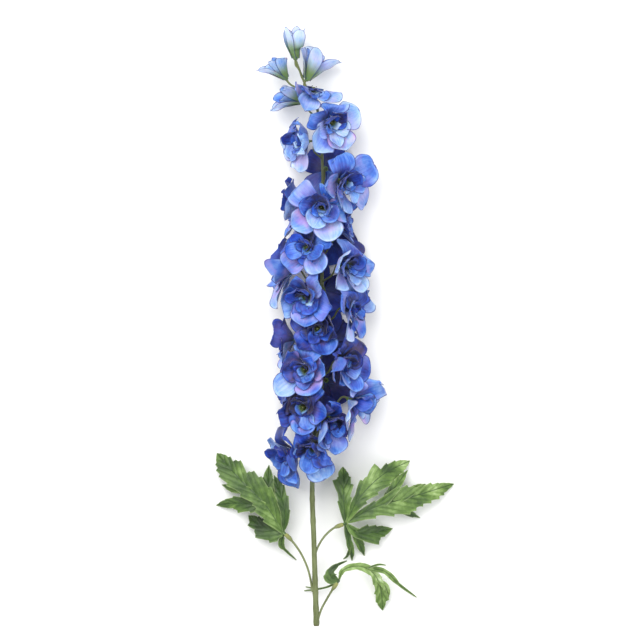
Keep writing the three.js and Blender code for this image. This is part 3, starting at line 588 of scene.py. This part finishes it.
def petal_relief(look, u, v, seed):
    """How far the sheet stands off its plain form: ruffled edges, a creased claw, folds and a curled tip."""
    edge = np.abs(v) ** 3 * rise(0.12, 0.55, u)
    waves = look["waves"] + 0.6 * draw(seed + 8)
    phase = np.where(v > 0, 3 * draw(seed + 9), 3 * draw(seed + 10))
    ruffle = edge * np.sin(math.tau * waves * u + phase)
    tip_wave = rise(0.7, 1, u) * np.sin(v * (4 + draw(seed + 11)) + 3 * draw(seed + 12))
    crease = np.exp(-((v / 0.2) ** 2)) * (1 - 0.75 * u) * rise(0, 0.2, u)
    folds = 0.14 * np.cos(v * math.pi * 4.5 + draw(seed + 13)) * rise(0.05, 0.4, u)
    curl = (0.35 + 0.65 * draw(seed + 14)) * (np.maximum(u - 0.62, 0) / 0.38) ** 2
    return look["ruffle"] * (ruffle + 0.5 * tip_wave) - look["crease"] * crease + folds + look["curl"] * curl


def add_petal(shape, bloom, walls, whorl, k, seed, look):
    """One petal's thin sheet, which follows the rows of the same petal in the solids."""
    net = Net(bloom, walls, whorl, k, seed)
    rows, columns = look["grid"]
    u = (1 - (1 - np.linspace(0, 1, rows)) ** ROW_CROWDING) * LAST_ROW
    v = np.sin(np.linspace(-1, 1, columns) * COLUMN_SPREAD) / math.sin(COLUMN_SPREAD)
    rib = smooth(net.rows, net.ribs, u)
    along = units(np.gradient(rib, u, axis=0))
    across = smooth(net.rows, net.acrosses, u)
    across = units(across - along * np.sum(across * along, axis=1)[:, None])
    facing = np.cross(across, along)
    arms = smooth(net.rows, net.arms, u)

    u, v = u[:, None], v[None, :]
    width = petal_outline(net, look, u, seed)
    flat = np.where(v > 0, arms[:, 2:3], arms[:, 0:1])
    lift = np.where(v > 0, arms[:, 3:4], arms[:, 1:2])
    side = v * (1 + 0.07 * draw(seed + 7) * v) * flat * width
    stand = np.abs(v) ** 1.7 * lift * width + petal_relief(look, u, v, seed)
    grid = rib[:, None] + across[:, None] * side[..., None] + facing[:, None] * stand[..., None]
    grid += (keep_inside(grid, walls) - grid) * rise(0.04, 0.25, u)[..., None]

    rim = np.minimum((1 - np.abs(v)) * width, (1 - u) * net.length)
    thickness = PETAL_EDGE_THICKNESS + (PETAL_THICKNESS - PETAL_EDGE_THICKNESS) * rise(0, 3, rim)
    blush = look["blush"] * (0.7 + 0.6 * net.down) * rise(-1.4, 0.6, draw(seed + 16)) * 1.5
    # The tone takes painted shade on the petals above the eye, by the whorl's shade.
    sheet(
        shape, grid, thickness, np.stack(np.broadcast_arrays(u, 0.5 + 0.5 * v), axis=2),
        tone=look["tone"] + 0.15 * draw(seed + 15) - look["shade"] * net.down,
        blush=max(blush, 0), green=look["green"], pale=look["pale"] * (0.7 + 0.3 * draw(seed + 17)),
        rim=rim, petal=(seed * 0.37) % 17,
    )


def add_cup(shape, bloom):
    """The hollow base that the petals grow from, open at both ends round the stalk and the eye."""
    profile = CUP_PROFILE if bloom.is_open else BUD_CUP_PROFILE
    angles = np.linspace(0, math.tau, CUP_SIDES, endpoint=False)
    ring = np.cos(angles)[:, None] * bloom.top + np.sin(angles)[:, None] * bloom.side
    scallop = CUP_SCALLOP * np.cos(5 * angles + bloom.turn)[:, None]
    points = np.vstack([
        bloom.seat + bloom.face * (f + scallop * rise(2, 5, f)) + ring * r for f, r in profile
    ])
    rings = len(profile)
    faces = []
    for i in range(rings):
        for s in range(CUP_SIDES):
            t = (s + 1) % CUP_SIDES
            a, b = i * CUP_SIDES, (i + 1) % rings * CUP_SIDES
            faces.append((a + s, b + s, b + t, a + t))
    uv = np.stack([np.zeros(len(points)), np.tile(angles / math.tau, rings)], axis=1)
    shape.add(points, faces, uv, tone=bloom.tone + 0.1, green=1.0, rim=5, petal=bloom.index, back=1)


# How each whorl is finished, the outermost first. claw is the width of a petal's foot as a share of its
# widest, waves the number of ruffles along an edge, and ruffle, crease and curl are in millimetres. tone is
# added to the bloom's, blush and pale are shares of the bloom's, and shade is painted shade that darkens the
# petals above the eye.
FINISH_OF = ("grid", "claw", "waves", "ruffle", "crease", "curl", "tone", "blush", "pale", "shade")
FINISH = [
    ((22, 15), 0.13, 1.7, 0.95, 0.9, -2.1, -0.04, 1, 1, 0.12),
    ((18, 13), 0.16, 2.6, 1.4, 0.9, -1.6, 0.07, 0.25, 0.1, 0.16),
    ((14, 11), 0.25, 3.1, 1.5, 0.7, -1.8, 0.12, 0.1, 0.1, 0.2),
    ((12, 9), 0.3, 2.6, 0.8, 0.4, -1.6, -0.1, 0, 0.3, 0),
]
# How far green runs up from the claws of each whorl.
GREENS = {"open": (0.1, 0.25, 0.7, 1.7), "pressed": (0.1, 0.25, 0.7), "half": (1.3, 1.0), "bud": (1.55,)}
OPEN_TIP = 0.62
CLOSED_FINISH = {"tip": 0.5, "curl": -1.2, "claw": 0.5, "shade": 0}
CLOSED_TONE = -0.07
CLOSED_RUFFLE = 0.6
EXTRA_SEED = 50  # sets the draws of the frill and the lips apart from those of the other whorls


def whorl_look(bloom, w):
    """How the petals of a bloom's whorl w are finished and coloured."""
    look = dict(zip(FINISH_OF, FINISH[w]), green=GREENS[bloom.stage][w], tip=OPEN_TIP)
    look["tone"] += bloom.tone
    look["blush"] *= bloom.blush
    look["pale"] *= bloom.pale
    if not bloom.is_open:
        look.update(CLOSED_FINISH)
        look["tone"] += CLOSED_TONE
        look["ruffle"] *= CLOSED_RUFFLE
    return look


def add_bloom(bloom, material):
    walls = walls_of(bloom)
    shape = Shape("tone", "blush", "green", "rim", "petal", "pale", "back")
    for w, whorl in enumerate(STAGES[bloom.stage]):
        look = whorl_look(bloom, w)
        first_seed = 100 * bloom.index + 20 * w + EXTRA_SEED * (w > 1)
        for k in range(whorl["count"]):
            add_petal(shape, bloom, walls, whorl, k, first_seed + 4 * k, look)
    add_cup(shape, bloom)
    shape.make("petals_" + bloom.name, material, bloom.name, sharp=70)


# ---------- materials ----------

SIDE_VEIN_SPACING = 14
SIDE_VEIN_SLANT = 2.1  # how far forward a side vein runs for each millimetre out from the midrib

# Colours of each tissue, from one end of its scale to the other.
PETAL_BLUES = [
    (0.0, (194, 212, 240)), (0.18, (164, 193, 232)), (0.36, (114, 154, 218)), (0.54, (61, 108, 196)),
    (0.72, (32, 65, 160)), (0.88, (16, 30, 100)), (1.0, (6, 10, 46)),
]
LEAF_GREENS = [
    (0.0, (32, 54, 16)), (0.28, (56, 85, 28)), (0.5, (88, 118, 48)), (0.72, (132, 160, 90)),
    (0.88, (178, 200, 146)), (1.0, (210, 224, 190)),
]
STEM_GREENS = [
    (0.0, (52, 58, 30)), (0.35, (84, 93, 52)), (0.6, (110, 120, 76)), (0.85, (144, 153, 110)),
    (1.0, (172, 180, 140)),
]
LILAC = srgb(196, 162, 218)
UNDERSIDE = srgb(50, 58, 134)
CLAW_GREEN = srgb(100, 126, 54)
AZURE = srgb(84, 142, 214)
PETAL_RIM = srgb(40, 50, 116)
VEIN = srgb(40, 66, 28)
LEAF_EDGE_HIGHLIGHT = srgb(158, 176, 116)
SOCKET_YELLOW = srgb(160, 160, 78)
STEM_DARK_AND_SHADE = srgb(38, 46, 24)
STEM_CUT = srgb(86, 78, 46)
STEM_SPECK = srgb(70, 62, 34)


class Nodes:
    """A node material under construction."""

    def __init__(self, name):
        self.material = bpy.data.materials.new(name)
        self.material.use_nodes = True
        self.tree = self.material.node_tree
        self.shader = self.tree.nodes["Principled BSDF"]

    def put(self, target, value):
        if isinstance(value, bpy.types.NodeSocket):
            self.tree.links.new(value, target)
        else:
            target.default_value = value

    def node(self, kind, inputs=(), **settings):
        made = self.tree.nodes.new(kind)
        for key, value in settings.items():
            setattr(made, key, value)
        for key, value in dict(inputs).items():
            self.put(made.inputs[key], value)
        return made

    def attribute(self, name):
        return self.node("ShaderNodeAttribute", attribute_name=name).outputs["Fac"]

    def math(self, operation, *values):
        return self.node("ShaderNodeMath", enumerate(values), operation=operation).outputs[0]

    def times(self, a, b):
        return self.math("MULTIPLY", a, b)

    def plus(self, a, b):
        return self.math("ADD", a, b)

    def add_to(self, base, a, share):
        return self.math("MULTIPLY_ADD", a, share, base)

    def vary(self, base, noise, amount):
        """The base, raised or lowered by a noise whose middle is 0.5."""
        return self.add_to(base, self.math("SUBTRACT", noise, 0.5), amount)

    def ramp(self, low, high, x):
        """0 at low, 1 at high and smooth between."""
        inputs = {"Value": x, "From Min": low, "From Max": high}
        return self.node("ShaderNodeMapRange", inputs, interpolation_type="SMOOTHSTEP").outputs["Result"]

    def mix(self, factor, a, b, blend="MIX"):
        inputs = {"Factor": factor, 6: a, 7: b}  # 6 and 7 are the sockets of its two colours
        return self.node("ShaderNodeMix", inputs, data_type="RGBA", blend_type=blend).outputs[2]

    def colours(self, x, stops):
        made = self.node("ShaderNodeValToRGB", {"Fac": x})
        ramp = made.color_ramp
        while len(ramp.elements) < len(stops):
            ramp.elements.new(0.5)
        for element, (place, colour) in zip(ramp.elements, stops):
            element.position = place
            element.color = srgb(*colour)
        return made.outputs["Color"]

    def noise(self, vector, scale, detail, roughness=0.55, w=None):
        inputs = {"Vector": vector, "Scale": scale, "Detail": detail, "Roughness": roughness}
        made = self.node("ShaderNodeTexNoise", inputs)
        if w is not None:
            made.noise_dimensions = "4D"
            self.put(made.inputs["W"], w)
        return made.outputs["Fac"]

    def combine(self, *values):
        return self.node("ShaderNodeCombineXYZ", enumerate(values)).outputs[0]

    def uv(self):
        coordinates = self.node("ShaderNodeUVMap", uv_map="UVMap").outputs["UV"]
        split = self.node("ShaderNodeSeparateXYZ", {"Vector": coordinates})
        return split.outputs["X"], split.outputs["Y"]

    def place(self):
        return self.node("ShaderNodeTexCoord").outputs["Object"]

    def bump(self, height, strength, distance):
        made = self.node("ShaderNodeBump", {"Strength": strength, "Distance": distance, "Height": height})
        self.put(self.shader.inputs["Normal"], made.outputs["Normal"])

    def finish(self, colour, **settings):
        self.put(self.shader.inputs["Base Color"], colour)
        for key, value in settings.items():
            self.put(self.shader.inputs[key.replace("_", " ")], value)
        return self.material


def petal_material(name):
    n = Nodes(name)
    u, v = n.uv()
    petal = n.attribute("petal")
    rim = n.attribute("rim")
    place = n.place()

    # Streaks run from the claw along the petal, and fade into soft washes of lighter and darker blue.
    streaks = n.noise(n.combine(n.times(v, 9), n.times(u, 1.6), petal), 1.6, 4, 0.6)
    washes = n.noise(place, 46, 4, 0.55, petal)
    grain = n.noise(place, 900, 2, 0.6)
    vein_bend = n.times(n.noise(n.combine(u, v, petal), 3, 2), 2.4)
    vein_wave = n.math("COSINE", n.plus(n.times(v, 52), vein_bend))
    veins = n.math("POWER", n.add_to(0.5, vein_wave, 0.5), 7)
    veins = n.times(veins, n.ramp(0.97, 0.45, u))

    depth = n.vary(n.attribute("tone"), streaks, 0.42)
    depth = n.vary(depth, washes, 1.15)
    depth = n.add_to(depth, veins, 0.07)
    # Painted shade: the blue deepens towards the claw, in the hollow of the bloom.
    depth = n.add_to(depth, n.ramp(0.45, 0.0, u), 0.16)
    pale_at = n.times(n.ramp(0.25, 0.8, u), n.ramp(0.25, 0.75, n.plus(washes, 0.12)))
    depth = n.add_to(depth, n.times(n.attribute("pale"), pale_at), -0.36)
    band = n.times(n.ramp(0.5, 1.3, rim), n.ramp(5.0, 1.6, rim))
    depth = n.add_to(depth, band, -0.1)
    depth = n.vary(depth, grain, 0.06)
    colour = n.colours(depth, PETAL_BLUES)

    lilac_noise = n.noise(place, 48, 2, 0.5, n.plus(petal, 5.0))
    lilac_at = n.times(n.times(n.ramp(0.4, 0.58, lilac_noise), n.ramp(0.1, 0.3, u)), n.ramp(1.0, 0.6, u))
    colour = n.mix(n.times(n.times(lilac_at, n.attribute("blush")), 0.85), colour, LILAC)
    underside = n.times(n.attribute("back"), n.ramp(0.3, 0.6, n.attribute("tone")))
    colour = n.mix(n.times(underside, 0.4), colour, UNDERSIDE)
    # Green runs up from the claw, further where the attribute is over 1.
    green = n.attribute("green")
    green_reach = n.add_to(u, n.math("MAXIMUM", n.math("SUBTRACT", green, 1), 0), -0.4)
    green_at = n.ramp(0.66, 0.14, n.add_to(green_reach, streaks, 0.2))
    colour = n.mix(n.times(n.times(n.math("MINIMUM", green, 1), green_at), 0.95), colour, CLAW_GREEN)
    azure_at = n.ramp(0.45, 0.7, n.noise(place, 34, 2, 0.5, n.plus(petal, 9.0)))
    colour = n.mix(n.times(azure_at, 0.6), colour, AZURE, "SOFT_LIGHT")
    edge = n.ramp(1.3, 0.45, n.add_to(n.math("SUBTRACT", rim, 0.4), washes, 0.8))
    colour = n.mix(n.times(edge, 0.75), colour, PETAL_RIM)
    n.bump(n.add_to(n.times(grain, 0.35), veins, 0.5), 0.35, 0.0004)
    return n.finish(
        colour, Roughness=0.55, Sheen_Weight=0.25, Sheen_Roughness=0.4, Specular_IOR_Level=0.35,
        Subsurface_Weight=0.12, Subsurface_Scale=0.0015,
    )


def leaf_material():
    n = Nodes("leaf_tissue")
    along, across = n.uv()
    place = n.place()
    blade = n.attribute("petal")
    # Side veins leave the midrib at a slant. The UV holds millimetres along and across the rib.
    reach = n.math("ABSOLUTE", across)
    slant = n.add_to(along, reach, -SIDE_VEIN_SLANT)
    phase = n.times(slant, math.tau / SIDE_VEIN_SPACING)
    phase = n.plus(phase, n.add_to(-1.2, n.noise(place, 70, 2), 2.4))
    side_vein = n.math("POWER", n.add_to(0.5, n.math("COSINE", phase), 0.5), 40)
    midrib = n.ramp(0.9, 0.25, reach)
    # Fine streaks run beside the side veins and also raise the bump. Their lighter and darker colour is
    # painted sheen and painted shade on those creases. Lighter and darker patches lie across them.
    fine = n.noise(n.combine(n.times(slant, 0.3), n.times(reach, 0.12), blade), 1.0, 5, 0.7)
    patches = n.noise(place, 30, 5, 0.6, blade)
    light = n.vary(n.attribute("light"), patches, 2.1)
    light = n.vary(light, fine, 0.45)
    # Painted light: the quilted bulges between the side veins are made a little lighter.
    light = n.add_to(light, n.attribute("puff"), 0.05)
    light = n.add_to(light, n.attribute("back"), 0.2)
    colour = n.colours(light, LEAF_GREENS)
    dark = n.times(n.math("MAXIMUM", n.times(side_vein, 0.35), midrib), 0.8)
    colour = n.mix(dark, colour, VEIN)
    # Painted highlight: the blade turns whitish-green within a millimetre of its edges.
    colour = n.mix(n.times(n.ramp(0.9, 0.2, n.attribute("rim")), 0.5), colour, LEAF_EDGE_HIGHLIGHT)
    n.bump(n.plus(n.times(side_vein, -0.6), n.times(fine, 1.2)), 0.6, 0.0008)
    return n.finish(colour, Roughness=0.46, Specular_IOR_Level=0.5, Sheen_Weight=0.05)


def stem_material():
    n = Nodes("stem_tissue")
    place = n.place()
    along, turn = n.uv()
    fibre = n.noise(n.combine(n.times(along, 0.09), n.times(turn, 26), 0.0), 1.0, 4, 0.6)
    patches = n.noise(place, 30, 3, 0.5)
    light = n.vary(n.vary(0.45, fibre, 1.1), patches, 0.8)
    colour = n.colours(n.plus(light, n.attribute("light")), STEM_GREENS)
    colour = n.mix(n.attribute("yellow"), colour, SOCKET_YELLOW)
    # dark mixes in the own dark olive of the eye and the anthers, and painted shade on the stem among the
    # blooms and on the stalks of open blooms.
    colour = n.mix(n.attribute("dark"), colour, STEM_DARK_AND_SHADE)
    colour = n.mix(n.attribute("cut"), colour, STEM_CUT)
    specks = n.ramp(0.66, 0.74, n.noise(place, 420, 2, 0.6))
    colour = n.mix(n.times(specks, 0.35), colour, STEM_SPECK)
    n.bump(n.plus(fibre, n.times(specks, 0.3)), 0.45, 0.0005)
    return n.finish(colour, Roughness=0.48, Specular_IOR_Level=0.45)


# ---------- the stem, stalks and eyes ----------

STEM_RINGS = 260
STEM_SIDES = 20
BARE_JOINTS = [-232, -206, -338]  # heights where the stem swells without a stalk
JOINT_SWELLING = 0.42
JOINT_LENGTH = 3.5
FOOT_TRIM = 0.35
CUT_HEIGHT = 1.2
STAMENS = 9
STAMEN_BASE = 4.5
# Steps from a bloom's seat, with the eye's radius there.
EYE_PROFILE = [(3, 1.6), (5, 2.5), (7.5, EYE_RADIUS), (10, 2.3), (12, 1.5), (EYE_TIP, 0.4)]
# Shares of the way up a stalk's thick end, with how far it has swelled.
SOCKET_PROFILE = [(0, 0), (0.12, 0.45), (0.45, 1), (0.8, 0.8), (0.95, 0.78), (1, 0.62)]


def add_stem(material):
    shape = Shape("light", "yellow", "dark", "cut")
    low, high = STEM_LINE[0][1], STEM_LINE[-1][1]
    t = np.linspace(0, 1, STEM_RINGS)
    heights = low + (high - low) * t
    radii = STEM_FOOT_RADIUS + (STEM_TIP_RADIUS - STEM_FOOT_RADIUS) * t
    joints = [b.y - PEDICEL_DROP for b in BLOOMS] + [points[0][1] for points in PETIOLES.values()]
    for joint in joints + BARE_JOINTS:
        radii = radii + JOINT_SWELLING * np.exp(-(((heights - joint) / JOINT_LENGTH) ** 2))
    radii[0] -= FOOT_TRIM
    radii[-1] *= 0.5

    def ridged(i, angles):
        ridges = 0.045 * np.cos(5 * angles + 0.004 * heights[i])
        return 1 + ridges + 0.012 * np.cos(11 * angles + 0.05 * heights[i])

    # Painted shade: the stem is darkened along the stretch that the blooms hang over.
    shade = 0.35 * rise(-190, -120, heights) * (1 - rise(260, 300, heights))
    cut = 0.8 * (1 - rise(low, low + CUT_HEIGHT, heights))
    tube(shape, stem_at(heights), radii, STEM_SIDES, ridged, light=0.06 - 0.1 * shade, dark=shade, cut=cut)
    for bloom in BLOOMS:
        add_pedicel(shape, bloom)
    for points in PETIOLES.values():
        add_petiole(shape, points)
    shape.make("green_stem", material, "stem", sharp=60)


def add_pedicel(shape, bloom):
    """A bloom's stalk and, where the bloom is open, the eye and stamens at its end."""
    def along(f):
        return bloom.seat + bloom.face * f

    foot = stem_at(bloom.y - PEDICEL_DROP)[0]
    bend = foot + (bloom.seat - foot) * 0.45 + bloom.outward * PEDICEL_BEND
    curve = Curve([foot, bend, along(-PEDICEL_BACK), along(EYE_START)])
    u = np.linspace(0, 1, 22)
    radii = PEDICEL_RADIUS * (0.78 + 0.3 * np.exp(-((u / 0.12) ** 2)) + 0.25 * rise(0.7, 1, u))
    # Painted shade: the stalks of open blooms are darkened, most at their feet, where the petals hang over
    # them.
    shade = 0.5 if bloom.is_open else 0.05
    tube(shape, curve.at(u), radii, 10, light=0.04, yellow=0.05, dark=shade * (1 - 0.5 * u))
    if not bloom.is_open:
        return

    def lobed(_, angles):
        return 1 + 0.2 * np.cos(3 * angles + bloom.index)

    f = np.linspace(EYE_START, EYE_TIP, 12)
    yellow = np.interp(f, (3, 9, 13), (0.0, 0.1, 0.25))
    dark = 0.6 - 0.15 * rise(9, 13, f)
    eye = [along(x) for x in f]
    tube(shape, eye, np.interp(f, *zip(*EYE_PROFILE)), 12, lobed, light=-0.05, yellow=yellow, dark=dark)
    for k in range(STAMENS):
        add_stamen(shape, bloom, k)


def add_stamen(shape, bloom, k):
    turn = math.tau * k / STAMENS + 0.4 * draw(bloom.index * 31 + k)
    radial = bloom.top * math.cos(turn) + bloom.side * math.sin(turn)
    reach = EYE_TIP - 3 + 2.2 * draw(bloom.index * 17 + 3 * k)
    t = np.linspace(0, 1, 5)[:, None]
    up = STAMEN_BASE + (reach - STAMEN_BASE) * t
    line = bloom.seat + bloom.face * up + radial * (2.4 + 1.6 * t**2)
    tube(shape, line, 0.2, 5, light=0.3, yellow=0.5)
    anther = [line[-1] + bloom.face * s for s in (-0.5, -0.2, 0.4, 1.0, 1.3)]
    tube(shape, anther, [0.15, 0.45, 0.55, 0.4, 0.1], 6, light=-0.2, yellow=0.2, dark=0.6)


def add_petiole(shape, points):
    """A leaf's stalk, which ends in a thick socket."""
    curve = Curve(points)
    start = 1 - SOCKET_LENGTH / curve.length
    u = np.concatenate([np.linspace(0, start, 26), np.linspace(start, 1, 14)[1:]])
    inside = np.clip((u - start) / (1 - start), 0, 1)
    swell = (SOCKET_RADIUS - PETIOLE_RADIUS) * np.interp(inside, *zip(*SOCKET_PROFILE))
    foot = 0.35 * PETIOLE_RADIUS * np.exp(-((u / 0.1) ** 2))
    radii = PETIOLE_RADIUS + np.where(inside > 0, swell, foot)

    def ribbed(i, angles):
        return 1 + (0.03 + 0.04 * inside[i]) * np.cos(5 * angles)

    tube(shape, curve.at(u), radii, 14, ribbed, light=0.12 + 0.05 * inside, yellow=0.55 * inside)


# ---------- leaves ----------

LEAF_THICKNESS = 0.55
LEAF_EDGE_THICKNESS = 0.2
MIDRIB_THICKNESS = 0.5
TOOTH_DEPTH = 3.4
LOBE_ROW = 1.3  # the length of a lobe's rows
LEAF_TABLE_ROOM = 0.35
HUB_SHARES = (0, 0.35, 0.7, 1)
HUB_RADII = [1.5, 1.7, 1.9, 1.8, 0.7]
# How light each lobe of each leaf is.
LOBE_LIGHTS = {
    "leaf_left": (0.46, 0.34, 0.28, 0.5, 0.42, 0.24, 0.4),
    "leaf_right": (0.34, 0.42, 0.52, 0.4, 0.5, 0.42, 0.36, 0.24, 0.16, 0.16),
    "leaf_low": (0.66, 0.58, 0.42, 0.5, 0.2, 0.3, 0.3),
}


def outline(corners, u, length, seed):
    """Widths along one side of a lobe: the corners' straight line, a little bowed out, with small teeth."""
    places, corner_widths = np.array(corners).T
    widths = np.interp(u, places, corner_widths)
    k = np.clip(np.searchsorted(places, u, side="right") - 1, 0, len(places) - 2)
    gap = places[k + 1] - places[k]
    bow = 0.05 * np.minimum(gap * length, 20) * np.sin(math.pi * (u - places[k]) / gap)
    tooth = ((u * length - SIDE_VEIN_SLANT * widths) / SIDE_VEIN_SPACING + 0.1 * draw(seed)) % 1
    teeth = TOOTH_DEPTH * (tooth**1.5 - 0.4) * rise(3, 10, widths) * (1 - rise(0.9, 1, u))
    return widths + np.where(widths > 2, bow, 0.3 * bow) + teeth


def add_lobe(shape, curve, left, right, seed, light):
    """One lobe's thin blade: folded up from its midrib, quilted between side veins and waved at its edge."""
    corners = [c[0] for c in left + right]
    fine = np.linspace(0, 1, max(18, int(curve.length / LOBE_ROW)))
    u = np.unique(np.round(np.concatenate([corners, fine]), 5))
    u = u[np.concatenate([[True], np.diff(u) > 0.004])]
    u[-1] = 1
    v = np.concatenate([np.linspace(-1, 0, 9), np.linspace(0, 1, 9)[1:]])[None, :]
    rib = curve.at(u)
    along = curve.tangent(u)
    across = units(np.cross(along, (0, 0, 1)))
    front = np.cross(across, along)
    widths = np.where(
        v < 0,
        outline(left, u, curve.length, seed)[:, None],
        outline(right, u, curve.length, seed + 1)[:, None],
    )
    out = np.abs(v)
    reach = out * widths
    s = (u * curve.length)[:, None]
    fold = math.radians(LEAF_FOLD)
    quilting = np.cos(math.tau * (s - SIDE_VEIN_SLANT * reach) / SIDE_VEIN_SPACING)
    puff = -quilting * rise(0.6, 3, reach) * (1 - 0.6 * out)
    phase = np.where(v < 0, 3 * draw(seed + 2), 3 * draw(seed + 3))
    wave = np.sin(s / 7 + phase) * out**2 * rise(3, 9, widths)
    stand = reach * math.sin(fold) * (1.25 - 0.35 * out)
    stand = stand + 0.55 * puff + 1.3 * wave - 0.4 * np.exp(-((reach / 0.8) ** 2))
    side = v * widths * math.cos(fold)
    grid = rib[:, None] + across[:, None] * side[..., None] + front[:, None] * stand[..., None]
    grid[:, :, 2] = np.maximum(grid[:, :, 2], LEAF_TABLE_ROOM)
    rim = np.minimum((1 - out) * widths, curve.length - s)
    thickness = LEAF_EDGE_THICKNESS + (LEAF_THICKNESS - LEAF_EDGE_THICKNESS) * rise(0, 2, rim)
    thickness += MIDRIB_THICKNESS * np.exp(-((reach / 0.9) ** 2)) * (1 - s / curve.length)
    uv = np.stack(np.broadcast_arrays(s, v * widths), axis=2)
    sheet(shape, grid, thickness, uv, rim=rim, petal=seed % 13, puff=puff, light=light)


def add_leaf(name, material):
    shape = Shape("rim", "petal", "puff", "back", "light")
    stalk = Curve(PETIOLES[name])
    past = [-HUB_SUNK] + [share * HUB_LENGTH for share in HUB_SHARES]
    hub = stalk.at([1 + x / stalk.length for x in past])
    curves = []
    for i, (on, rib, *sides) in enumerate(LEAVES[name]):
        root = curves[on[0]].at(on[1])[0] if on else hub[3]
        curves.append(Curve([root] + rib))
        seed = 40 * list(LEAVES).index(name) + 7 * i
        add_lobe(shape, curves[i], sides[0], sides[-1], seed, LOBE_LIGHTS[name][i])
    tube(shape, hub, HUB_RADII, 12, rim=5, petal=1, back=0.5, light=0.4)
    shape.make("blade_" + name, material, name, sharp=60)


# ---------- camera, surface and light ----------

CAMERA_TARGET = (-0.0186, 0.0084, 0.04)
CAMERA_HEIGHT = 6.39
CAMERA_LENS = 300
FLOOR_SIZE = 12
FLOOR_DROP = 0.0005  # how far the surface lies under the lowest petals
FLOOR_WHITE = (0.93, 0.93, 0.93, 1)
WORLD_STRENGTH = 0.6
# name, place, size across, power, colour
LIGHTS = [
    ("key", (-0.6, 0.85, 2.0), 2.0, 52, (1, 0.995, 0.98)),
    ("fill", (1.2, -0.6, 1.6), 2.0, 18, (0.97, 0.98, 1)),
]


def add_camera():
    data = bpy.data.cameras.new("camera")
    data.lens = CAMERA_LENS
    data.sensor_width = 36
    camera = add_object("camera", data)
    camera.location = (CAMERA_TARGET[0], CAMERA_TARGET[1], CAMERA_TARGET[2] + CAMERA_HEIGHT)
    bpy.context.scene.camera = camera


def add_area_light(name, location, size, energy, colour):
    """A round light that faces the origin."""
    data = bpy.data.lights.new(name, "AREA")
    data.shape = "DISK"
    data.size = size
    data.energy = energy
    data.color = colour
    light = add_object(name, data)
    light.location = location
    aim = -np.array(location)
    tilt = math.atan2(math.hypot(aim[0], aim[1]), -aim[2])
    light.rotation_euler = (tilt, 0, math.atan2(aim[1], aim[0]) - math.pi / 2)


def add_floor():
    mesh = bpy.data.meshes.new("floor")
    half = FLOOR_SIZE / 2
    corners = [(-half, -half, 0), (half, -half, 0), (half, half, 0), (-half, half, 0)]
    mesh.from_pydata(corners, [], [(0, 1, 2, 3)])
    mesh.materials.append(Nodes("floor_paper").finish(FLOOR_WHITE, Roughness=0.9, Specular_IOR_Level=0.1))
    floor = add_object("floor", mesh)
    floor.location.z = -FLOOR_DROP


def add_world():
    world = bpy.data.worlds.new("studio")
    world.use_nodes = True
    background = world.node_tree.nodes["Background"]
    background.inputs["Color"].default_value = (1, 1, 1, 1)
    background.inputs["Strength"].default_value = WORLD_STRENGTH
    bpy.context.scene.world = world


bpy.context.scene.view_settings.view_transform = "Standard"
add_camera()
add_floor()
add_world()
for light in LIGHTS:
    add_area_light(*light)

# ---------- the spike ----------

petals_blue = petal_material("petal_tissue")
petals_pale = petal_material("petal_tissue_pale")
for bloom in BLOOMS:
    add_bloom(bloom, petals_blue if bloom.is_open else petals_pale)
leaf_tissue = leaf_material()
for leaf in LEAVES:
    add_leaf(leaf, leaf_tissue)
add_stem(stem_material())

bpy.context.view_layer.update()
